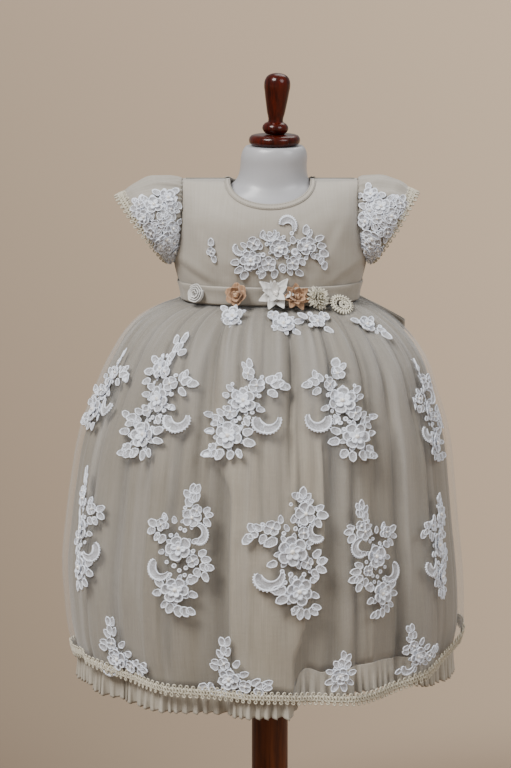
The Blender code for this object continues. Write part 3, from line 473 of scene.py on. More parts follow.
def clothShell(name, points, normals, thickness, finish, closed=False, values=None,
               attribute="netCrowdingAndCrestLight"):
    # A thin closed wall on a grid: the outer face lies on the points, the inner one behind it.
    rows, columns = points.shape[:2]
    spans = columns if closed else columns - 1
    inner = points - normals * thickness
    verts = np.concatenate((points.reshape(-1, 3), inner.reshape(-1, 3)))
    under = rows * columns
    ring = points if not closed else np.concatenate((points, points[:, :1]), axis=1)
    along = np.linalg.norm(np.diff(ring, axis=1), axis=2).mean(axis=0)
    u = np.concatenate(((0,), np.cumsum(along)))
    down = np.linalg.norm(np.diff(points, axis=0), axis=2).mean(axis=1)
    v = -np.concatenate(((0,), np.cumsum(down)))
    faces, uvs = [], []
    for r in range(rows - 1):
        for c in range(spans):
            n = (c + 1) % columns
            a, b, d, e = r * columns + c, (r + 1) * columns + c, (r + 1) * columns + n, r * columns + n
            faces.append((a, b, d, e))
            faces.append((a + under, e + under, d + under, b + under))
            uvs += [(u[c], v[r]), (u[c], v[r + 1]), (u[c + 1], v[r + 1]), (u[c + 1], v[r])]
            uvs += [(u[c], v[r]), (u[c + 1], v[r]), (u[c + 1], v[r + 1]), (u[c], v[r + 1])]

    def rim(a, b, ua, ub):
        faces.append((a, a + under, b + under, b))
        uvs.extend((ua, ua, ub, ub))

    for c in range(spans):
        n = (c + 1) % columns
        rim(n, c, (u[c + 1], v[0]), (u[c], v[0]))
        low = (rows - 1) * columns
        rim(low + c, low + n, (u[c], v[-1]), (u[c + 1], v[-1]))
    if not closed:
        for r in range(rows - 1):
            rim(r * columns, (r + 1) * columns, (u[0], v[r]), (u[0], v[r + 1]))
            last = columns - 1
            rim((r + 1) * columns + last, r * columns + last, (u[-1], v[r + 1]), (u[-1], v[r]))
    piece = newPiece(name, verts, faces, finish, uvs)
    if values is not None:
        both = np.concatenate((values.ravel(), values.ravel())).astype(np.float32)
        piece.data.attributes.new(attribute, "FLOAT", "POINT").data.foreach_set("value", both)
    return piece


def tubeAlong(points, radius, sides=5, closed=False, upHint=None):
    # Verts and faces of a round cord along a line of points; radius is a number or one for each point.
    points = np.asarray(points, float)
    count = len(points)
    if closed:
        ahead = np.roll(points, -1, axis=0) - np.roll(points, 1, axis=0)
    else:
        ahead = np.gradient(points, axis=0)
    ahead /= np.maximum(np.linalg.norm(ahead, axis=1, keepdims=True), 1e-12)
    up = np.broadcast_to(np.array((0.0, 0.0, 1.0)) if upHint is None else np.asarray(upHint, float), points.shape)
    side = np.cross(ahead, up)
    weak = np.linalg.norm(side, axis=1) < 1e-3
    side[weak] = np.cross(ahead[weak], np.array((0.31, 0.95, 0.05)))
    side /= np.linalg.norm(side, axis=1, keepdims=True)
    over = np.cross(side, ahead)
    turns = 2 * np.pi * np.arange(sides) / sides
    radii = np.broadcast_to(np.asarray(radius, float), (count,))[:, None, None]
    ring = side[:, None] * np.cos(turns)[None, :, None] + over[:, None] * np.sin(turns)[None, :, None]
    verts = (points[:, None] + ring * radii).reshape(-1, 3)
    faces = []
    for k in range(count if closed else count - 1):
        a, b = k * sides, ((k + 1) % count) * sides
        for s in range(sides):
            n = (s + 1) % sides
            faces.append((a + s, b + s, b + n, a + n))
    if not closed:
        faces.append(tuple(range(sides)))
        faces.append(tuple((count - 1) * sides + s for s in range(sides))[::-1])
    return verts, faces


class Gathering:
    # Collects small parts into one mesh.
    def __init__(self):
        self.verts, self.faces, self.kinds, self.count = [], [], [], 0

    def add(self, verts, faces, kind=0):
        self.verts.append(np.asarray(verts, float))
        self.faces += [tuple(i + self.count for i in face) for face in faces]
        self.kinds += [kind] * len(faces)
        self.count += len(verts)

    def make(self, name, finish, smooth=True):
        piece = newPiece(name, np.concatenate(self.verts), self.faces, finish, smooth=smooth)
        if not isinstance(finish, str):
            piece.data.polygons.foreach_set("material_index", np.array(self.kinds, np.int32))
        return piece


# ---- skirts

skirt = {
    "top": 0.6996,
    "columns": 480,
    "underColumns": 700,
    # height, half width left, half width right, front depth, back depth, share of the folds
    "outline": (
        (0.6996, 0.1000, 0.1000, 0.066, 0.066, 0.00),
        (0.6920, 0.1230, 0.1180, 0.088, 0.086, 0.18),
        (0.6830, 0.1400, 0.1330, 0.105, 0.102, 0.28),
        (0.6630, 0.1620, 0.1560, 0.130, 0.126, 0.38),
        (0.6400, 0.1770, 0.1730, 0.148, 0.144, 0.50),
        (0.5930, 0.1990, 0.1900, 0.171, 0.166, 0.65),
        (0.5460, 0.2170, 0.2030, 0.186, 0.181, 0.78),
        (0.4880, 0.2280, 0.2100, 0.197, 0.193, 0.90),
        (0.4410, 0.2340, 0.2140, 0.203, 0.199, 0.96),
        (0.3900, 0.2385, 0.2190, 0.206, 0.202, 1.00),
        (0.3480, 0.2360, 0.2210, 0.206, 0.202, 1.00),
        (0.3170, 0.2330, 0.2200, 0.204, 0.200, 1.00),
        (0.2860, 0.2260, 0.2140, 0.201, 0.197, 1.00),
        (0.2400, 0.2240, 0.2100, 0.199, 0.195, 1.00),
    ),
    # main folds: direction from the front towards +X and half width in degrees, rise in mm
    "folds": (
        (-171, 8, 5.0), (-150, 7, -4.5), (-133, 8, 5.5), (-112, 7, -4.0), (-94, 8, 3.0), (-74, 6, -4.5),
        (-60, 6, 4.5), (-44, 6, -5.0), (-31, 6, 4.5), (-17, 5, -5.5), (-3, 7, 5.0), (13, 5, -6.0),
        (25, 6, 4.0), (40, 6, -4.5), (54, 6, 5.0), (70, 7, -4.0), (88, 8, 3.0), (107, 7, -4.5),
        (124, 7, 5.0), (143, 8, -5.0), (160, 7, 4.5),
    ),
    # direction, then heights of the tulle's hem, the underskirt's hem and the frill's lower edge
    "hems": (
        (-180, 0.286, 0.284, 0.256), (-90, 0.287, 0.286, 0.258), (-60, 0.294, 0.290, 0.261),
        (-42, 0.284, 0.284, 0.2555), (-23, 0.278, 0.281, 0.2545), (-5, 0.2765, 0.2808, 0.2545),
        (4, 0.2745, 0.2805, 0.2545), (7.4, 0.273, 0.2805, 0.2545), (9.4, 0.2725, 0.299, 0.270),
        (16, 0.271, 0.301, 0.271), (31, 0.270, 0.308, 0.277),
        (45, 0.2775, 0.308, 0.277), (58, 0.287, 0.300, 0.270), (72, 0.296, 0.294, 0.264),
        (90, 0.312, 0.292, 0.263), (125, 0.298, 0.286, 0.258), (180, 0.286, 0.284, 0.256),
    ),
    # height, how far the underskirt hangs inside the tulle
    "gaps": ((0.240, 0.0080), (0.300, 0.0082), (0.400, 0.0090), (0.560, 0.0080), (0.660, 0.0040),
             (0.690, 0.0018), (0.700, 0.0014)),
    # creases of the underskirt: direction, half width, rise in mm, upper and lower end
    "creases": (
        (-15.0, 2.6, -6.0, 0.60, 0.20), (19.6, 2.8, -5.0, 0.66, 0.20), (-6.5, 2.6, -3.6, 0.58, 0.30),
        (4.5, 2.2, -4.0, 0.64, 0.36), (-1.5, 1.0, -3.0, 0.63, 0.44), (10.6, 1.2, -4.2, 0.66, 0.43),
        (13.4, 1.0, -2.6, 0.64, 0.46), (-29, 1.6, -5.5, 0.62, 0.30), (-37, 1.4, 2.2, 0.60, 0.24),
        (-50, 1.7, -6.5, 0.60, 0.20), (-55, 1.5, 2.0, 0.58, 0.22), (-68, 1.9, -6.0, 0.64, 0.24),
        (28, 1.5, -5.0, 0.62, 0.28), (34, 1.5, 2.0, 0.60, 0.24), (46, 1.6, -6.5, 0.58, 0.22),
        (61, 1.6, 2.0, 0.62, 0.22), (66, 1.4, -5.0, 0.60, 0.24), (0, 2.0, -3.2, 0.69, 0.46),
        (-6, 2.0, 1.4, 0.50, 0.26), (-22, 1.2, -4.0, 0.69, 0.50), (6.5, 1.2, -3.8, 0.69, 0.52),
        (20, 1.2, -4.4, 0.69, 0.50), (-40, 1.4, -4.2, 0.69, 0.52), (38, 1.3, -4.0, 0.69, 0.50),
        (95, 1.8, -6.0, 0.62, 0.22), (118, 1.6, -6.5, 0.60, 0.22), (137, 1.7, -5.5, 0.64, 0.24),
        (158, 1.5, -7.0, 0.58, 0.20), (180, 1.7, -6.0, 0.60, 0.22), (-158, 1.5, -6.5, 0.62, 0.22),
        (-136, 1.6, -5.5, 0.60, 0.24), (-116, 1.7, -6.5, 0.62, 0.22), (-96, 1.6, -5.5, 0.60, 0.22),
    ),
    # stretches of the underskirt that stand forward between two deep creases: from, to, rise in mm
    "panels": ((-47, -32, 1.8), (30, 43, 1.8), (-98, -72, 2.0), (72, 95, 2.0), (120, 150, 2.5),
               (-152, -120, 2.4)),
    "thick": 0.0005,
}


def bowl(angle, z):
    left, right, front, back, share = (curveThrough(skirt["outline"], k, z) for k in range(1, 6))
    power = 2.4 - 0.35 * np.clip((shape["waist"] - z) / 0.12, 0, 1)
    s, c = np.sin(angle), np.cos(angle)
    x = np.sign(s) * np.abs(s) ** (2 / power) * np.where(s > 0, right, left)
    y = -np.sign(c) * np.abs(c) ** (2 / power) * np.where(c > 0, front, back)
    degrees = np.degrees(angle)
    rise = 0.0
    for centre, half, height in skirt["folds"]:
        rise = rise + height * np.exp(-((wrapDegrees(degrees - centre) / half) ** 2))
    grow = 1 + rise / 1000 * share / np.hypot(x, y)
    return np.stack((x * grow, y * grow, z + 0 * x), -1)


def bowlNormal(angle, z):
    step = 0.002
    across = bowl(angle + step, z) - bowl(angle - step, z)
    down = bowl(angle, z - 0.0012) - bowl(angle, z + 0.0012)
    normal = np.cross(down, across)
    return normal / np.linalg.norm(normal, axis=-1, keepdims=True)


def pleatRidge(degrees):
    # Round ridges between sharp valleys, from -1.1 to 0.6.
    a = np.radians(degrees)
    wide = 31 * a + 1.3 * np.sin(5 * a + 1) + 1.0 * np.sin(9 * a + 0.4)
    return 1.7 * np.abs(np.sin(wide / 2 + 0.6 * np.sin(3 * a))) ** 0.6 - 1.1


def waistGathers(degrees, z):
    # Small pleats that the waist seam holds, dying out as the skirt spreads.
    a = np.radians(degrees)
    turn = 72 * a + 2.2 * np.sin(5 * a + 1) + 1.5 * np.sin(11 * a + 2.4) + 0.9 * np.sin(23 * a)
    below = skirt["top"] - z
    near = np.exp(-((below / 0.045) ** 2)) * ramp(below, -0.003, 0.006)
    further = np.exp(-(((below - 0.060) / 0.088) ** 2)) * ramp(below, 0.0, 0.028)
    deep = 0.65 + 0.35 * np.sin(4.3 * a + 1) * np.sin(6.7 * a)
    return 0.0019 * np.cos(turn) * near + 0.0078 * deep * pleatRidge(degrees) * further


def seededFolds(seed, count, narrow, wide, deepest, longest):
    # Random long creases: direction, half width, rise, top and bottom.
    draw = np.random.default_rng(seed)
    folds = []
    for k in range(count):
        centre = -180 + 360 * (k + draw.uniform(0.1, 0.9)) / count
        top = draw.uniform(0.56, 0.69)
        reach = draw.uniform(0.35, 1.0) * longest
        folds.append((centre, draw.uniform(narrow, wide), deepest * draw.uniform(0.4, 1) * draw.choice((-1, 1)),
                      top, max(top - reach, 0.20)))
    return folds


def creaseRise(degrees, z, folds, limit):
    total = 0.0
    for centre, half, height, top, bottom in folds:
        lean = centre + (z - 0.45) * 9 * math.sin(centre)
        away = np.abs(wrapDegrees(degrees - lean)) / half
        total = total + height / 1000 * np.exp(-(away**1.6)) * ramp(z, bottom - 0.03, bottom + 0.03) * (
            1 - ramp(z, top - 0.05, top))
    return ease(total, limit)


tulleFolds = seededFolds(11, 74, 0.9, 2.2, 2.1, 0.5)
underFolds = seededFolds(23, 52, 1.0, 2.6, 1.5, 0.42)


def tulleAt(angle, z):
    degrees = np.degrees(angle)
    rise = waistGathers(degrees, z) + creaseRise(degrees, z, tulleFolds, 0.0024)
    spot = bowl(angle, z)
    out = spot / np.hypot(spot[..., 0], spot[..., 1])[..., None] * (1, 1, 0)
    return spot + out * rise[..., None]


def panelEdges(z):
    # Directions between which the underskirt's front panel lies double, at a height.
    left = -11.6 - 8.4 * ramp(z, 0.50, 0.565)
    return left, np.interp(z, (0.272, 0.312, 0.355, 0.463), (8.0, 7.2, 10.8, 16.3))


def frontPanel(degrees, z):
    left, right = panelEdges(z)
    return ramp(degrees, left - 0.5, left + 0.4) * (1 - ramp(degrees, right - 0.4, right + 0.5))


def underAt(angle, z):
    degrees = np.degrees(angle)
    rise = waistGathers(degrees, z) + creaseRise(degrees, z, underFolds, 0.0026) + creaseRise(
        degrees, z, skirt["creases"], 0.0130)
    for start, end, height in skirt["panels"]:
        step = ramp(degrees, start - 0.6, start + 0.6) * (1 - ramp(degrees, end - 0.6, end + 0.6))
        rise = rise + height / 1000 * step * (1 - ramp(z, 0.50, 0.60))
    # Beside the double front panel the cloth falls back.
    left, right = panelEdges(z)
    low = 1 - ramp(z, 0.50, 0.60)
    rise = rise + 0.0030 * frontPanel(degrees, z) * low
    rise = rise - 0.0062 * ramp(degrees, right - 0.4, right + 0.5) * (1 - ramp(degrees, 44, 66)) * low
    rise = rise - 0.0045 * (1 - ramp(degrees, left - 0.5, left + 0.4)) * ramp(degrees, -34, -20) * low
    spot = bowl(angle, z)
    out = spot / np.hypot(spot[..., 0], spot[..., 1])[..., None] * (1, 1, 0)
    return spot + out * rise[..., None] - bowlNormal(angle, z) * curveThrough(skirt["gaps"], 1, z)[..., None]


def hemHeight(angle, index):
    return curveThrough(skirt["hems"], index, wrapDegrees(np.degrees(angle)))


def skirtGrid(place, hemIndex, columns, rows):
    angles = np.linspace(-np.pi, np.pi, columns, endpoint=False)[None, :]
    low = hemHeight(angles, hemIndex)
    v = (np.linspace(0, 1, rows) ** 1.35)[:, None]
    z = skirt["top"] + (low - skirt["top"]) * v
    angles = np.broadcast_to(angles, z.shape)
    points = place(angles, z)
    return points, gridNormals(points, True), angles, z


def makeSkirts():
    columns = skirt["columns"]
    points, normals, angles, z = skirtGrid(tulleAt, 1, columns, 52)
    crease = creaseRise(np.degrees(angles), z, tulleFolds, 0.0024) / 0.0024
    pleat = waistGathers(np.degrees(angles), z) / 0.005
    netDensityAndCrestLight = 0.04 + 0.04 * np.exp(-(((skirt["top"] - z) / 0.12) ** 2))
    netDensityAndCrestLight = netDensityAndCrestLight + 0.08 * ramp(np.abs(np.degrees(angles)), 25, 60) * (0.3 + 0.7 * ramp(0.6 - z, 0, 0.2))
    sides = ramp(np.abs(np.degrees(angles)), 18, 50)
    # Along the crests of the creases and of the waist pleats the net is made more opaque, and so paler: painted
    # highlight.
    netDensityAndCrestLight = netDensityAndCrestLight + (0.07 + 0.10 * sides) * np.maximum(crease, 0) ** 1.5 + 0.13 * np.maximum(pleat, 0) ** 2
    tulle = clothShell("overskirt", points, normals, skirt["thick"], "tulle", True, netDensityAndCrestLight)
    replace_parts(tulle, "overskirt_front", "overskirt_back")

    points, normals, angles, z = skirtGrid(underAt, 2, skirt["underColumns"], 52)
    degrees = np.degrees(angles)
    # Painted shade: the underskirt is darker in its deep creases, in the valleys of the waist pleats and in a band
    # under the waist. Painted light: the front panel is paler.
    paintedPleatShade = np.clip(-creaseRise(degrees, z, skirt["creases"], 0.0130) / 0.0065, 0, 1)
    below = skirt["top"] - z
    paintedPleatShade = paintedPleatShade + (1 - np.clip(pleatRidge(degrees) + 1.1, 0, 0.8) / 0.8) * np.exp(-((below / 0.13) ** 2))
    paintedPleatShade = paintedPleatShade + 0.5 * np.exp(-((below / 0.08) ** 2))
    paintedPanelLightPleatShade = 0.54 + 0.46 * frontPanel(degrees, z) * (1 - ramp(z, 0.55, 0.66)) - 0.52 * np.clip(paintedPleatShade, 0, 1)
    under = clothShell("underskirt", points, normals, 0.0007, "taffeta", True, paintedPanelLightPleatShade, "paintedPanelLightPleatShade")
    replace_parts(under, "underskirt_front", "underskirt_back")

    # The frill is sewn to the underskirt's edge in fine gathers, uneven in width and depth.
    columns = 1240
    angle = np.linspace(-np.pi, np.pi, columns, endpoint=False)
    top = hemHeight(angle, 2) + 0.0015
    bottom = hemHeight(angle, 3)
    edge = underAt(angle, top)
    outward = bowlNormal(angle, top) * (1, 1, 0)
    outward /= np.linalg.norm(outward, axis=1, keepdims=True)
    side = np.cross((0, 0, 1), outward)
    turn = 128 * angle + 1.6 * np.sin(6 * angle + 0.7) + 1.1 * np.sin(17 * angle + 2) + 0.8 * np.sin(37 * angle)
    size = 0.75 + 0.25 * np.sin(13 * angle + 1.1) * np.sin(29 * angle)
    rows = []
    for v in (0.0, 0.03, 0.09, 0.18, 0.32, 0.48, 0.64, 0.8, 0.92, 1.0):
        wave = np.cos(turn) * (0.5 + 0.5 * v) + 0.35 * v * np.cos(0.5 * turn + 1)
        out = 0.0003 + size * wave * (0.0010 + 0.0029 * v**0.8) - 0.0006 * v
        sway = 0.0011 * v * np.sin(2 * turn + 0.8)
        drop = top + (bottom - top) * v + 0.0012 * v * np.cos(turn + 2.2)
        rows.append(edge * (1, 1, 0) + outward * out[:, None] + side * sway[:, None]
                    + np.stack((0 * drop, 0 * drop, drop), -1))
    points = np.array(rows)
    # The frill takes the taffeta painted paler, as if lit.
    frill = clothShell("frill", points, gridNormals(points, True), 0.0006, "frillCloth", True)
    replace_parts(frill, "frill_front", "frill_back")
    return tulle, under, frill


overskirt, underskirt, frill = makeSkirts()
print("skirts made")

# ---- bodice

bodice = {
    "columnStep": 6,  # fine columns for each of the panel's shares
    "rows": 44,
    "thick": 0.0009,
    # soft creases of the front: x and height of each end, half width, rise in mm
    "creases": (
        (0.106, 0.752, 0.070, 0.728, 0.006, 1.1), (0.104, 0.742, 0.074, 0.724, 0.005, -1.2),
        (-0.106, 0.754, -0.066, 0.730, 0.006, 1.1), (-0.104, 0.743, -0.072, 0.725, 0.005, -1.3),
        (0.088, 0.800, 0.060, 0.745, 0.007, 0.9), (-0.088, 0.796, -0.064, 0.748, 0.008, 0.9),
        (0.074, 0.790, 0.050, 0.740, 0.006, -0.9), (-0.078, 0.786, -0.052, 0.736, 0.006, -0.9),
        (-0.035, 0.745, -0.030, 0.722, 0.005, -0.8), (0.022, 0.742, 0.020, 0.722, 0.005, 0.8),
        (-0.010, 0.748, -0.008, 0.722, 0.004, 0.7), (0.045, 0.748, 0.040, 0.722, 0.004, -0.7),
        (-0.060, 0.812, -0.030, 0.800, 0.006, -0.6), (0.062, 0.812, 0.034, 0.798, 0.006, -0.6),
    ),
}


def bodiceSection(z):
    width = curveThrough(shape["bodice"], 1, z)
    depth = curveThrough(shape["bodice"], 2, np.minimum(z, shape["chestStart"]))
    share = np.clip((z - shape["chestStart"]) / (shape["ridge"] - shape["chestStart"]), 0, 1)
    return width, depth * np.sqrt(np.maximum(1 - share**2.5, 0))


def bodiceTop(share, neckHeight):
    neck, shoulder, hole = shape["columns"]
    ridge, half, tip = shape["ridge"], shape["neckHalf"], shape["shoulderTip"]
    turn = np.clip(share / neck, 0, 1) * np.pi / 2
    along = np.clip((share - neck) / shoulder, 0, 1)
    down = np.clip((share - neck - shoulder) / hole, 0, 1)
    reach = bodiceSection(np.array(shape["underarm"]))[0]
    x = half * np.sin(turn) + (tip - half) * along + (reach - tip) * down**3
    z = neckHeight + (ridge - neckHeight) * (1 - np.cos(turn)) + (shape["underarm"] - ridge) * down**1.15
    return x, z


def bodicePoint(turn, z, front):
    width, depth = bodiceSection(z)
    s, c = np.sin(turn), np.cos(turn)
    x = np.sign(s) * np.abs(s) ** (2 / shape["power"]) * width
    y = np.abs(c) ** (2 / shape["power"]) * depth
    return np.stack((x, -y if front else y, z + 0 * x), -1)


def bodiceGrid(front):
    # Rows from the upper edge down to the waist, columns from -X to +X.
    neck, shoulder, hole = shape["columns"]
    half = neck + shoulder + hole
    step = bodice["columnStep"]
    shares = np.arange(-half * step, half * step + 1) / step
    xTop, zTop = bodiceTop(np.abs(shares), shape["neckFront"] if front else shape["neckBack"])
    width = bodiceSection(zTop)[0]
    topTurn = np.arcsin(np.minimum(xTop / width, 1) ** (shape["power"] / 2))
    lowTurn = np.abs(shares) / half * np.pi / 2
    belt = shape["beltTop"]
    v = np.linspace(1, 0, bodice["rows"])[:, None] ** 1.15
    z = belt + (zTop - belt) * v
    turn = lowTurn + (topTurn - lowTurn) * v
    z = np.concatenate((z, np.full((1, len(shares)), 0.711), np.full((1, len(shares)), 0.7001)))
    turn = np.concatenate((turn, lowTurn[None], lowTurn[None]))
    return bodicePoint(turn * np.sign(shares), z, front)


def linedRise(x, z, creases):
    # Rise of creases that run along straight lines, tapering at their ends.
    total = 0.0
    for x1, z1, x2, z2, half, rise in creases:
        dx, dz = x2 - x1, z2 - z1
        along = ((x - x1) * dx + (z - z1) * dz) / (dx * dx + dz * dz)
        near = np.clip(along, 0, 1)
        away = np.hypot(x - x1 - near * dx, z - z1 - near * dz) / half
        total = total + rise / 1000 * np.exp(-(away**2))
    return total


def onBodice(x, z, front=True):
    # A point of the bodice and its outward direction, at a distance across and a height.
    def spot(x, z):
        width, depth = bodiceSection(z)
        return depth * np.maximum(1 - np.minimum(np.abs(x) / width, 0.9999) ** shape["power"], 0) ** (
            1 / shape["power"])
    step = 0.0008
    y = spot(x, z)
    slopeX = (spot(x + step, z) - spot(x - step, z)) / (2 * step)
    slopeZ = (spot(x, z + step) - spot(x, z - step)) / (2 * step)
    normal = np.stack((-slopeX, np.ones_like(y), -slopeZ), -1)
    normal /= np.linalg.norm(normal, axis=-1, keepdims=True)
    flip = np.array((1, -1, 1) if front else (1, 1, 1))
    return np.stack((x, y, z), -1) * flip, normal * flip


def makeBodice():
    step, seam = bodice["columnStep"], shape["seam"]
    front = bodiceGrid(True)
    back = bodiceGrid(False)
    mid = front.shape[1] // 2
    for name, points, side, columns in (
        ("front", front, -1, slice(None)),
        ("back_left", back, 1, slice(None, mid + 1)),
        ("back_right", back, 1, slice(mid, None)),
    ):
        panel = points.copy()
        near = np.abs(panel[..., 1]) < seam * 0.6
        panel[near, 1] = side * seam * 0.6
        normals = gridNormals(panel, False) * (1 if side < 0 else -1)
        creases = linedRise(panel[..., 0], panel[..., 2], bodice["creases"])
        fade = ramp(np.abs(panel[..., 1]), 0.004, 0.02)
        ripple = 0.0004 * np.sin(panel[..., 0] * 210 + 2 * np.sin(panel[..., 2] * 60)) * np.exp(
            -(((panel[..., 2] - 0.722) / 0.02) ** 2))
        panel = panel + normals * ((creases + ripple) * fade)[..., None]
        panel = panel[:, columns]
        if side > 0:
            panel[:, -1 if name == "back_left" else 0] += (seam * (-1 if name == "back_left" else 1), 0, 0)
            panel = panel[:, ::-1]
        normals = gridNormals(panel, False)
        piece = clothShell(f"bodice_cloth_{name}", panel, normals, bodice["thick"], "bodiceCloth")
        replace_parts(piece, f"bodice_{name}")
    return front, back


frontGrid, backGrid = makeBodice()
print("bodice made")

# ---- sleeves

sleeves = {
    # side, cuff tip reach and height, cuff bottom reach and height, puff
    "left": (-1, 0.1745, 0.8175, 0.1180, 0.7430, 0.0092),
    "right": (1, 0.1670, 0.8215, 0.1175, 0.7430, 0.0084),
    "cuffHalfDepth": 0.041,
    "columns": 192,
    "rows": 34,
    "gathers": 34,
}


def armhole(turn, side):
    neck, shoulder, hole = shape["columns"]
    along = (1 - np.abs(1 - 2 * turn)) * hole
    x, z = bodiceTop(neck + shoulder + along, shape["neckFront"])
    width, depth = bodiceSection(z)
    y = depth * np.maximum(0, 1 - np.minimum(x / width, 1) ** shape["power"]) ** (1 / shape["power"])
    return np.stack((side * x, -y * np.where(turn < 0.5, 1, -1), z), -1)


def sleeveAt(name, turn, t):
    # turn runs from 0 at the top round the front to 1, t from the armhole to the cuff.
    side, tipReach, tipHeight, lowReach, lowHeight, puff = sleeves[name]
    turn = turn % 1.0
    head = armhole(turn, side) + np.array((side * 0.0008, 0, 0))
    tip = np.array((side * tipReach, 0, tipHeight))
    low = np.array((side * lowReach, 0, lowHeight))
    middle, reach = (tip + low) / 2, (tip - low) / 2
    a = 2 * np.pi * turn
    c, s = np.cos(a)[..., None], np.sin(a)[..., None]
    t3 = t[..., None]
    cuff = middle + reach * c + np.array((0, -1, 0)) * sleeves["cuffHalfDepth"] * s
    swell = np.maximum(np.sin(np.pi * np.minimum(t3 * 1.08, 1.0)), 0) ** 0.8
    top = (0.5 + 0.5 * c) ** 0.8
    rise = np.concatenate((side * 0.004 * top, -0.013 * s, puff * top), -1)
    return head * (1 - t3) + cuff * t3 + rise * swell


def sleeveNormal(name, turn, t):
    side = sleeves[name][0]
    across = sleeveAt(name, turn + 0.004, t) - sleeveAt(name, turn - 0.004, t)
    down = sleeveAt(name, turn, np.minimum(t + 0.01, 1)) - sleeveAt(name, turn, np.maximum(t - 0.01, 0))
    normal = np.cross(down, across) * -side
    return normal / np.maximum(np.linalg.norm(normal, axis=-1, keepdims=True), 1e-9)


def makeSleeves():
    for name in ("left", "right"):
        side = sleeves[name][0]
        turns = np.linspace(0, 1, sleeves["columns"], endpoint=False)
        t = np.linspace(0, 1, sleeves["rows"])
        turn, t = np.meshgrid(turns, t)
        a = 2 * np.pi * turn
        phase = sleeves["gathers"] * a + 1.6 * np.sin(3 * a + side) + 1.1 * np.sin(7 * a)
        headGather = np.cos(phase) * np.exp(-((t / 0.26) ** 2)) * (0.35 + 0.65 * ramp(t, 0, 0.06))
        cuffGather = np.cos(phase * 0.8 + 1) * np.exp(-(((1 - t) / 0.16) ** 2))
        crumple = np.sin(9 * a + 7 * t + side) * np.sin(5 * a - 9 * t) * np.sin(np.pi * t)
        longFold = np.cos(0.5 * phase + 0.7) * np.sin(np.pi * np.minimum(t * 1.1, 1)) * np.clip(np.cos(a), 0, 1)
        rise = 0.0016 * headGather + 0.0007 * cuffGather + 0.0012 * crumple + 0.0019 * longFold
        points = sleeveAt(name, turn, t) + sleeveNormal(name, turn, t) * rise[..., None]
        if side < 0:
            points = points[:, ::-1]
        else:
            points = points[:, ::1]
        normals = gridNormals(points, True) * -side
        normals = sleeveNormal(name, turn[:, ::-1] if side < 0 else turn, t)
        piece = clothShell(f"puff_sleeve_{name}", points, normals, 0.0007, "sleeveCloth", True)
        fixFacing(piece)
        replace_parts(piece, f"sleeve_{name}")


def fixFacing(piece):
    # Turns a closed piece's faces outwards.
    work = bmesh.new()
    work.from_mesh(piece.data)
    bmesh.ops.recalc_face_normals(work, faces=work.faces)
    work.to_mesh(piece.data)
    work.free()


makeSleeves()
print("sleeves made")

# ---- form and stand

stand = {
    "centre": 0.005,  # the neck leans this far towards +X
    "capBottom": 0.8755,
    "finialLean": 2.5,
    "steps": 96,
    # radius and height above the cap's underside
    "cap": ((0.0, 0.0), (0.0235, 0.0), (0.0268, 0.0010), (0.0288, 0.0034), (0.0293, 0.0062), (0.0287, 0.0090),
            (0.0268, 0.0113), (0.0240, 0.0122), (0.0200, 0.0125), (0.0, 0.0125)),
    # the turned ball and stem, above the cap's top
    "finial": ((0.0, 0.0004), (0.0100, 0.0004), (0.0112, 0.0012), (0.0134, 0.0034), (0.0148, 0.0058),
               (0.0150, 0.0074), (0.0143, 0.0100), (0.0122, 0.0126), (0.0101, 0.0137), (0.0088, 0.0143),
               (0.0084, 0.0160), (0.0085, 0.0180), (0.0090, 0.0205), (0.0100, 0.0240), (0.0111, 0.0300),
               (0.0120, 0.0355), (0.0131, 0.0420), (0.0140, 0.0485), (0.0148, 0.0530), (0.0150, 0.0560),
               (0.0149, 0.0590), (0.0142, 0.0620), (0.0128, 0.0650), (0.0108, 0.0671), (0.0080, 0.0688),
               (0.0045, 0.0697), (0.0, 0.0700)),
    "collar": ((0.0, 0.5617), (0.0265, 0.5617), (0.0272, 0.5640), (0.0300, 0.5732), (0.0380, 0.5736),
               (0.0425, 0.5746), (0.0452, 0.5768), (0.0460, 0.5797), (0.0452, 0.5826), (0.0430, 0.5846),
               (0.0400, 0.5857), (0.0, 0.5857)),
    "pole": ((0.0, 0.0263), (0.0200, 0.0263), (0.0210, 0.0275), (0.0210, 0.1600), (0.0210, 0.3000),
             (0.0210, 0.4500), (0.0210, 0.5604), (0.0200, 0.5614), (0.0, 0.5614)),
    "base": ((0.0, 0.0), (0.1520, 0.0), (0.1562, 0.0012), (0.1590, 0.0042), (0.1600, 0.0080), (0.1588, 0.0118),
             (0.1560, 0.0146), (0.1510, 0.0164), (0.1480, 0.0167), (0.1100, 0.0186), (0.0620, 0.0204),
             (0.0600, 0.0206), (0.0560, 0.0212), (0.0470, 0.0224), (0.0440, 0.0238), (0.0425, 0.0252),
             (0.0400, 0.0260), (0.0, 0.0260)),
}


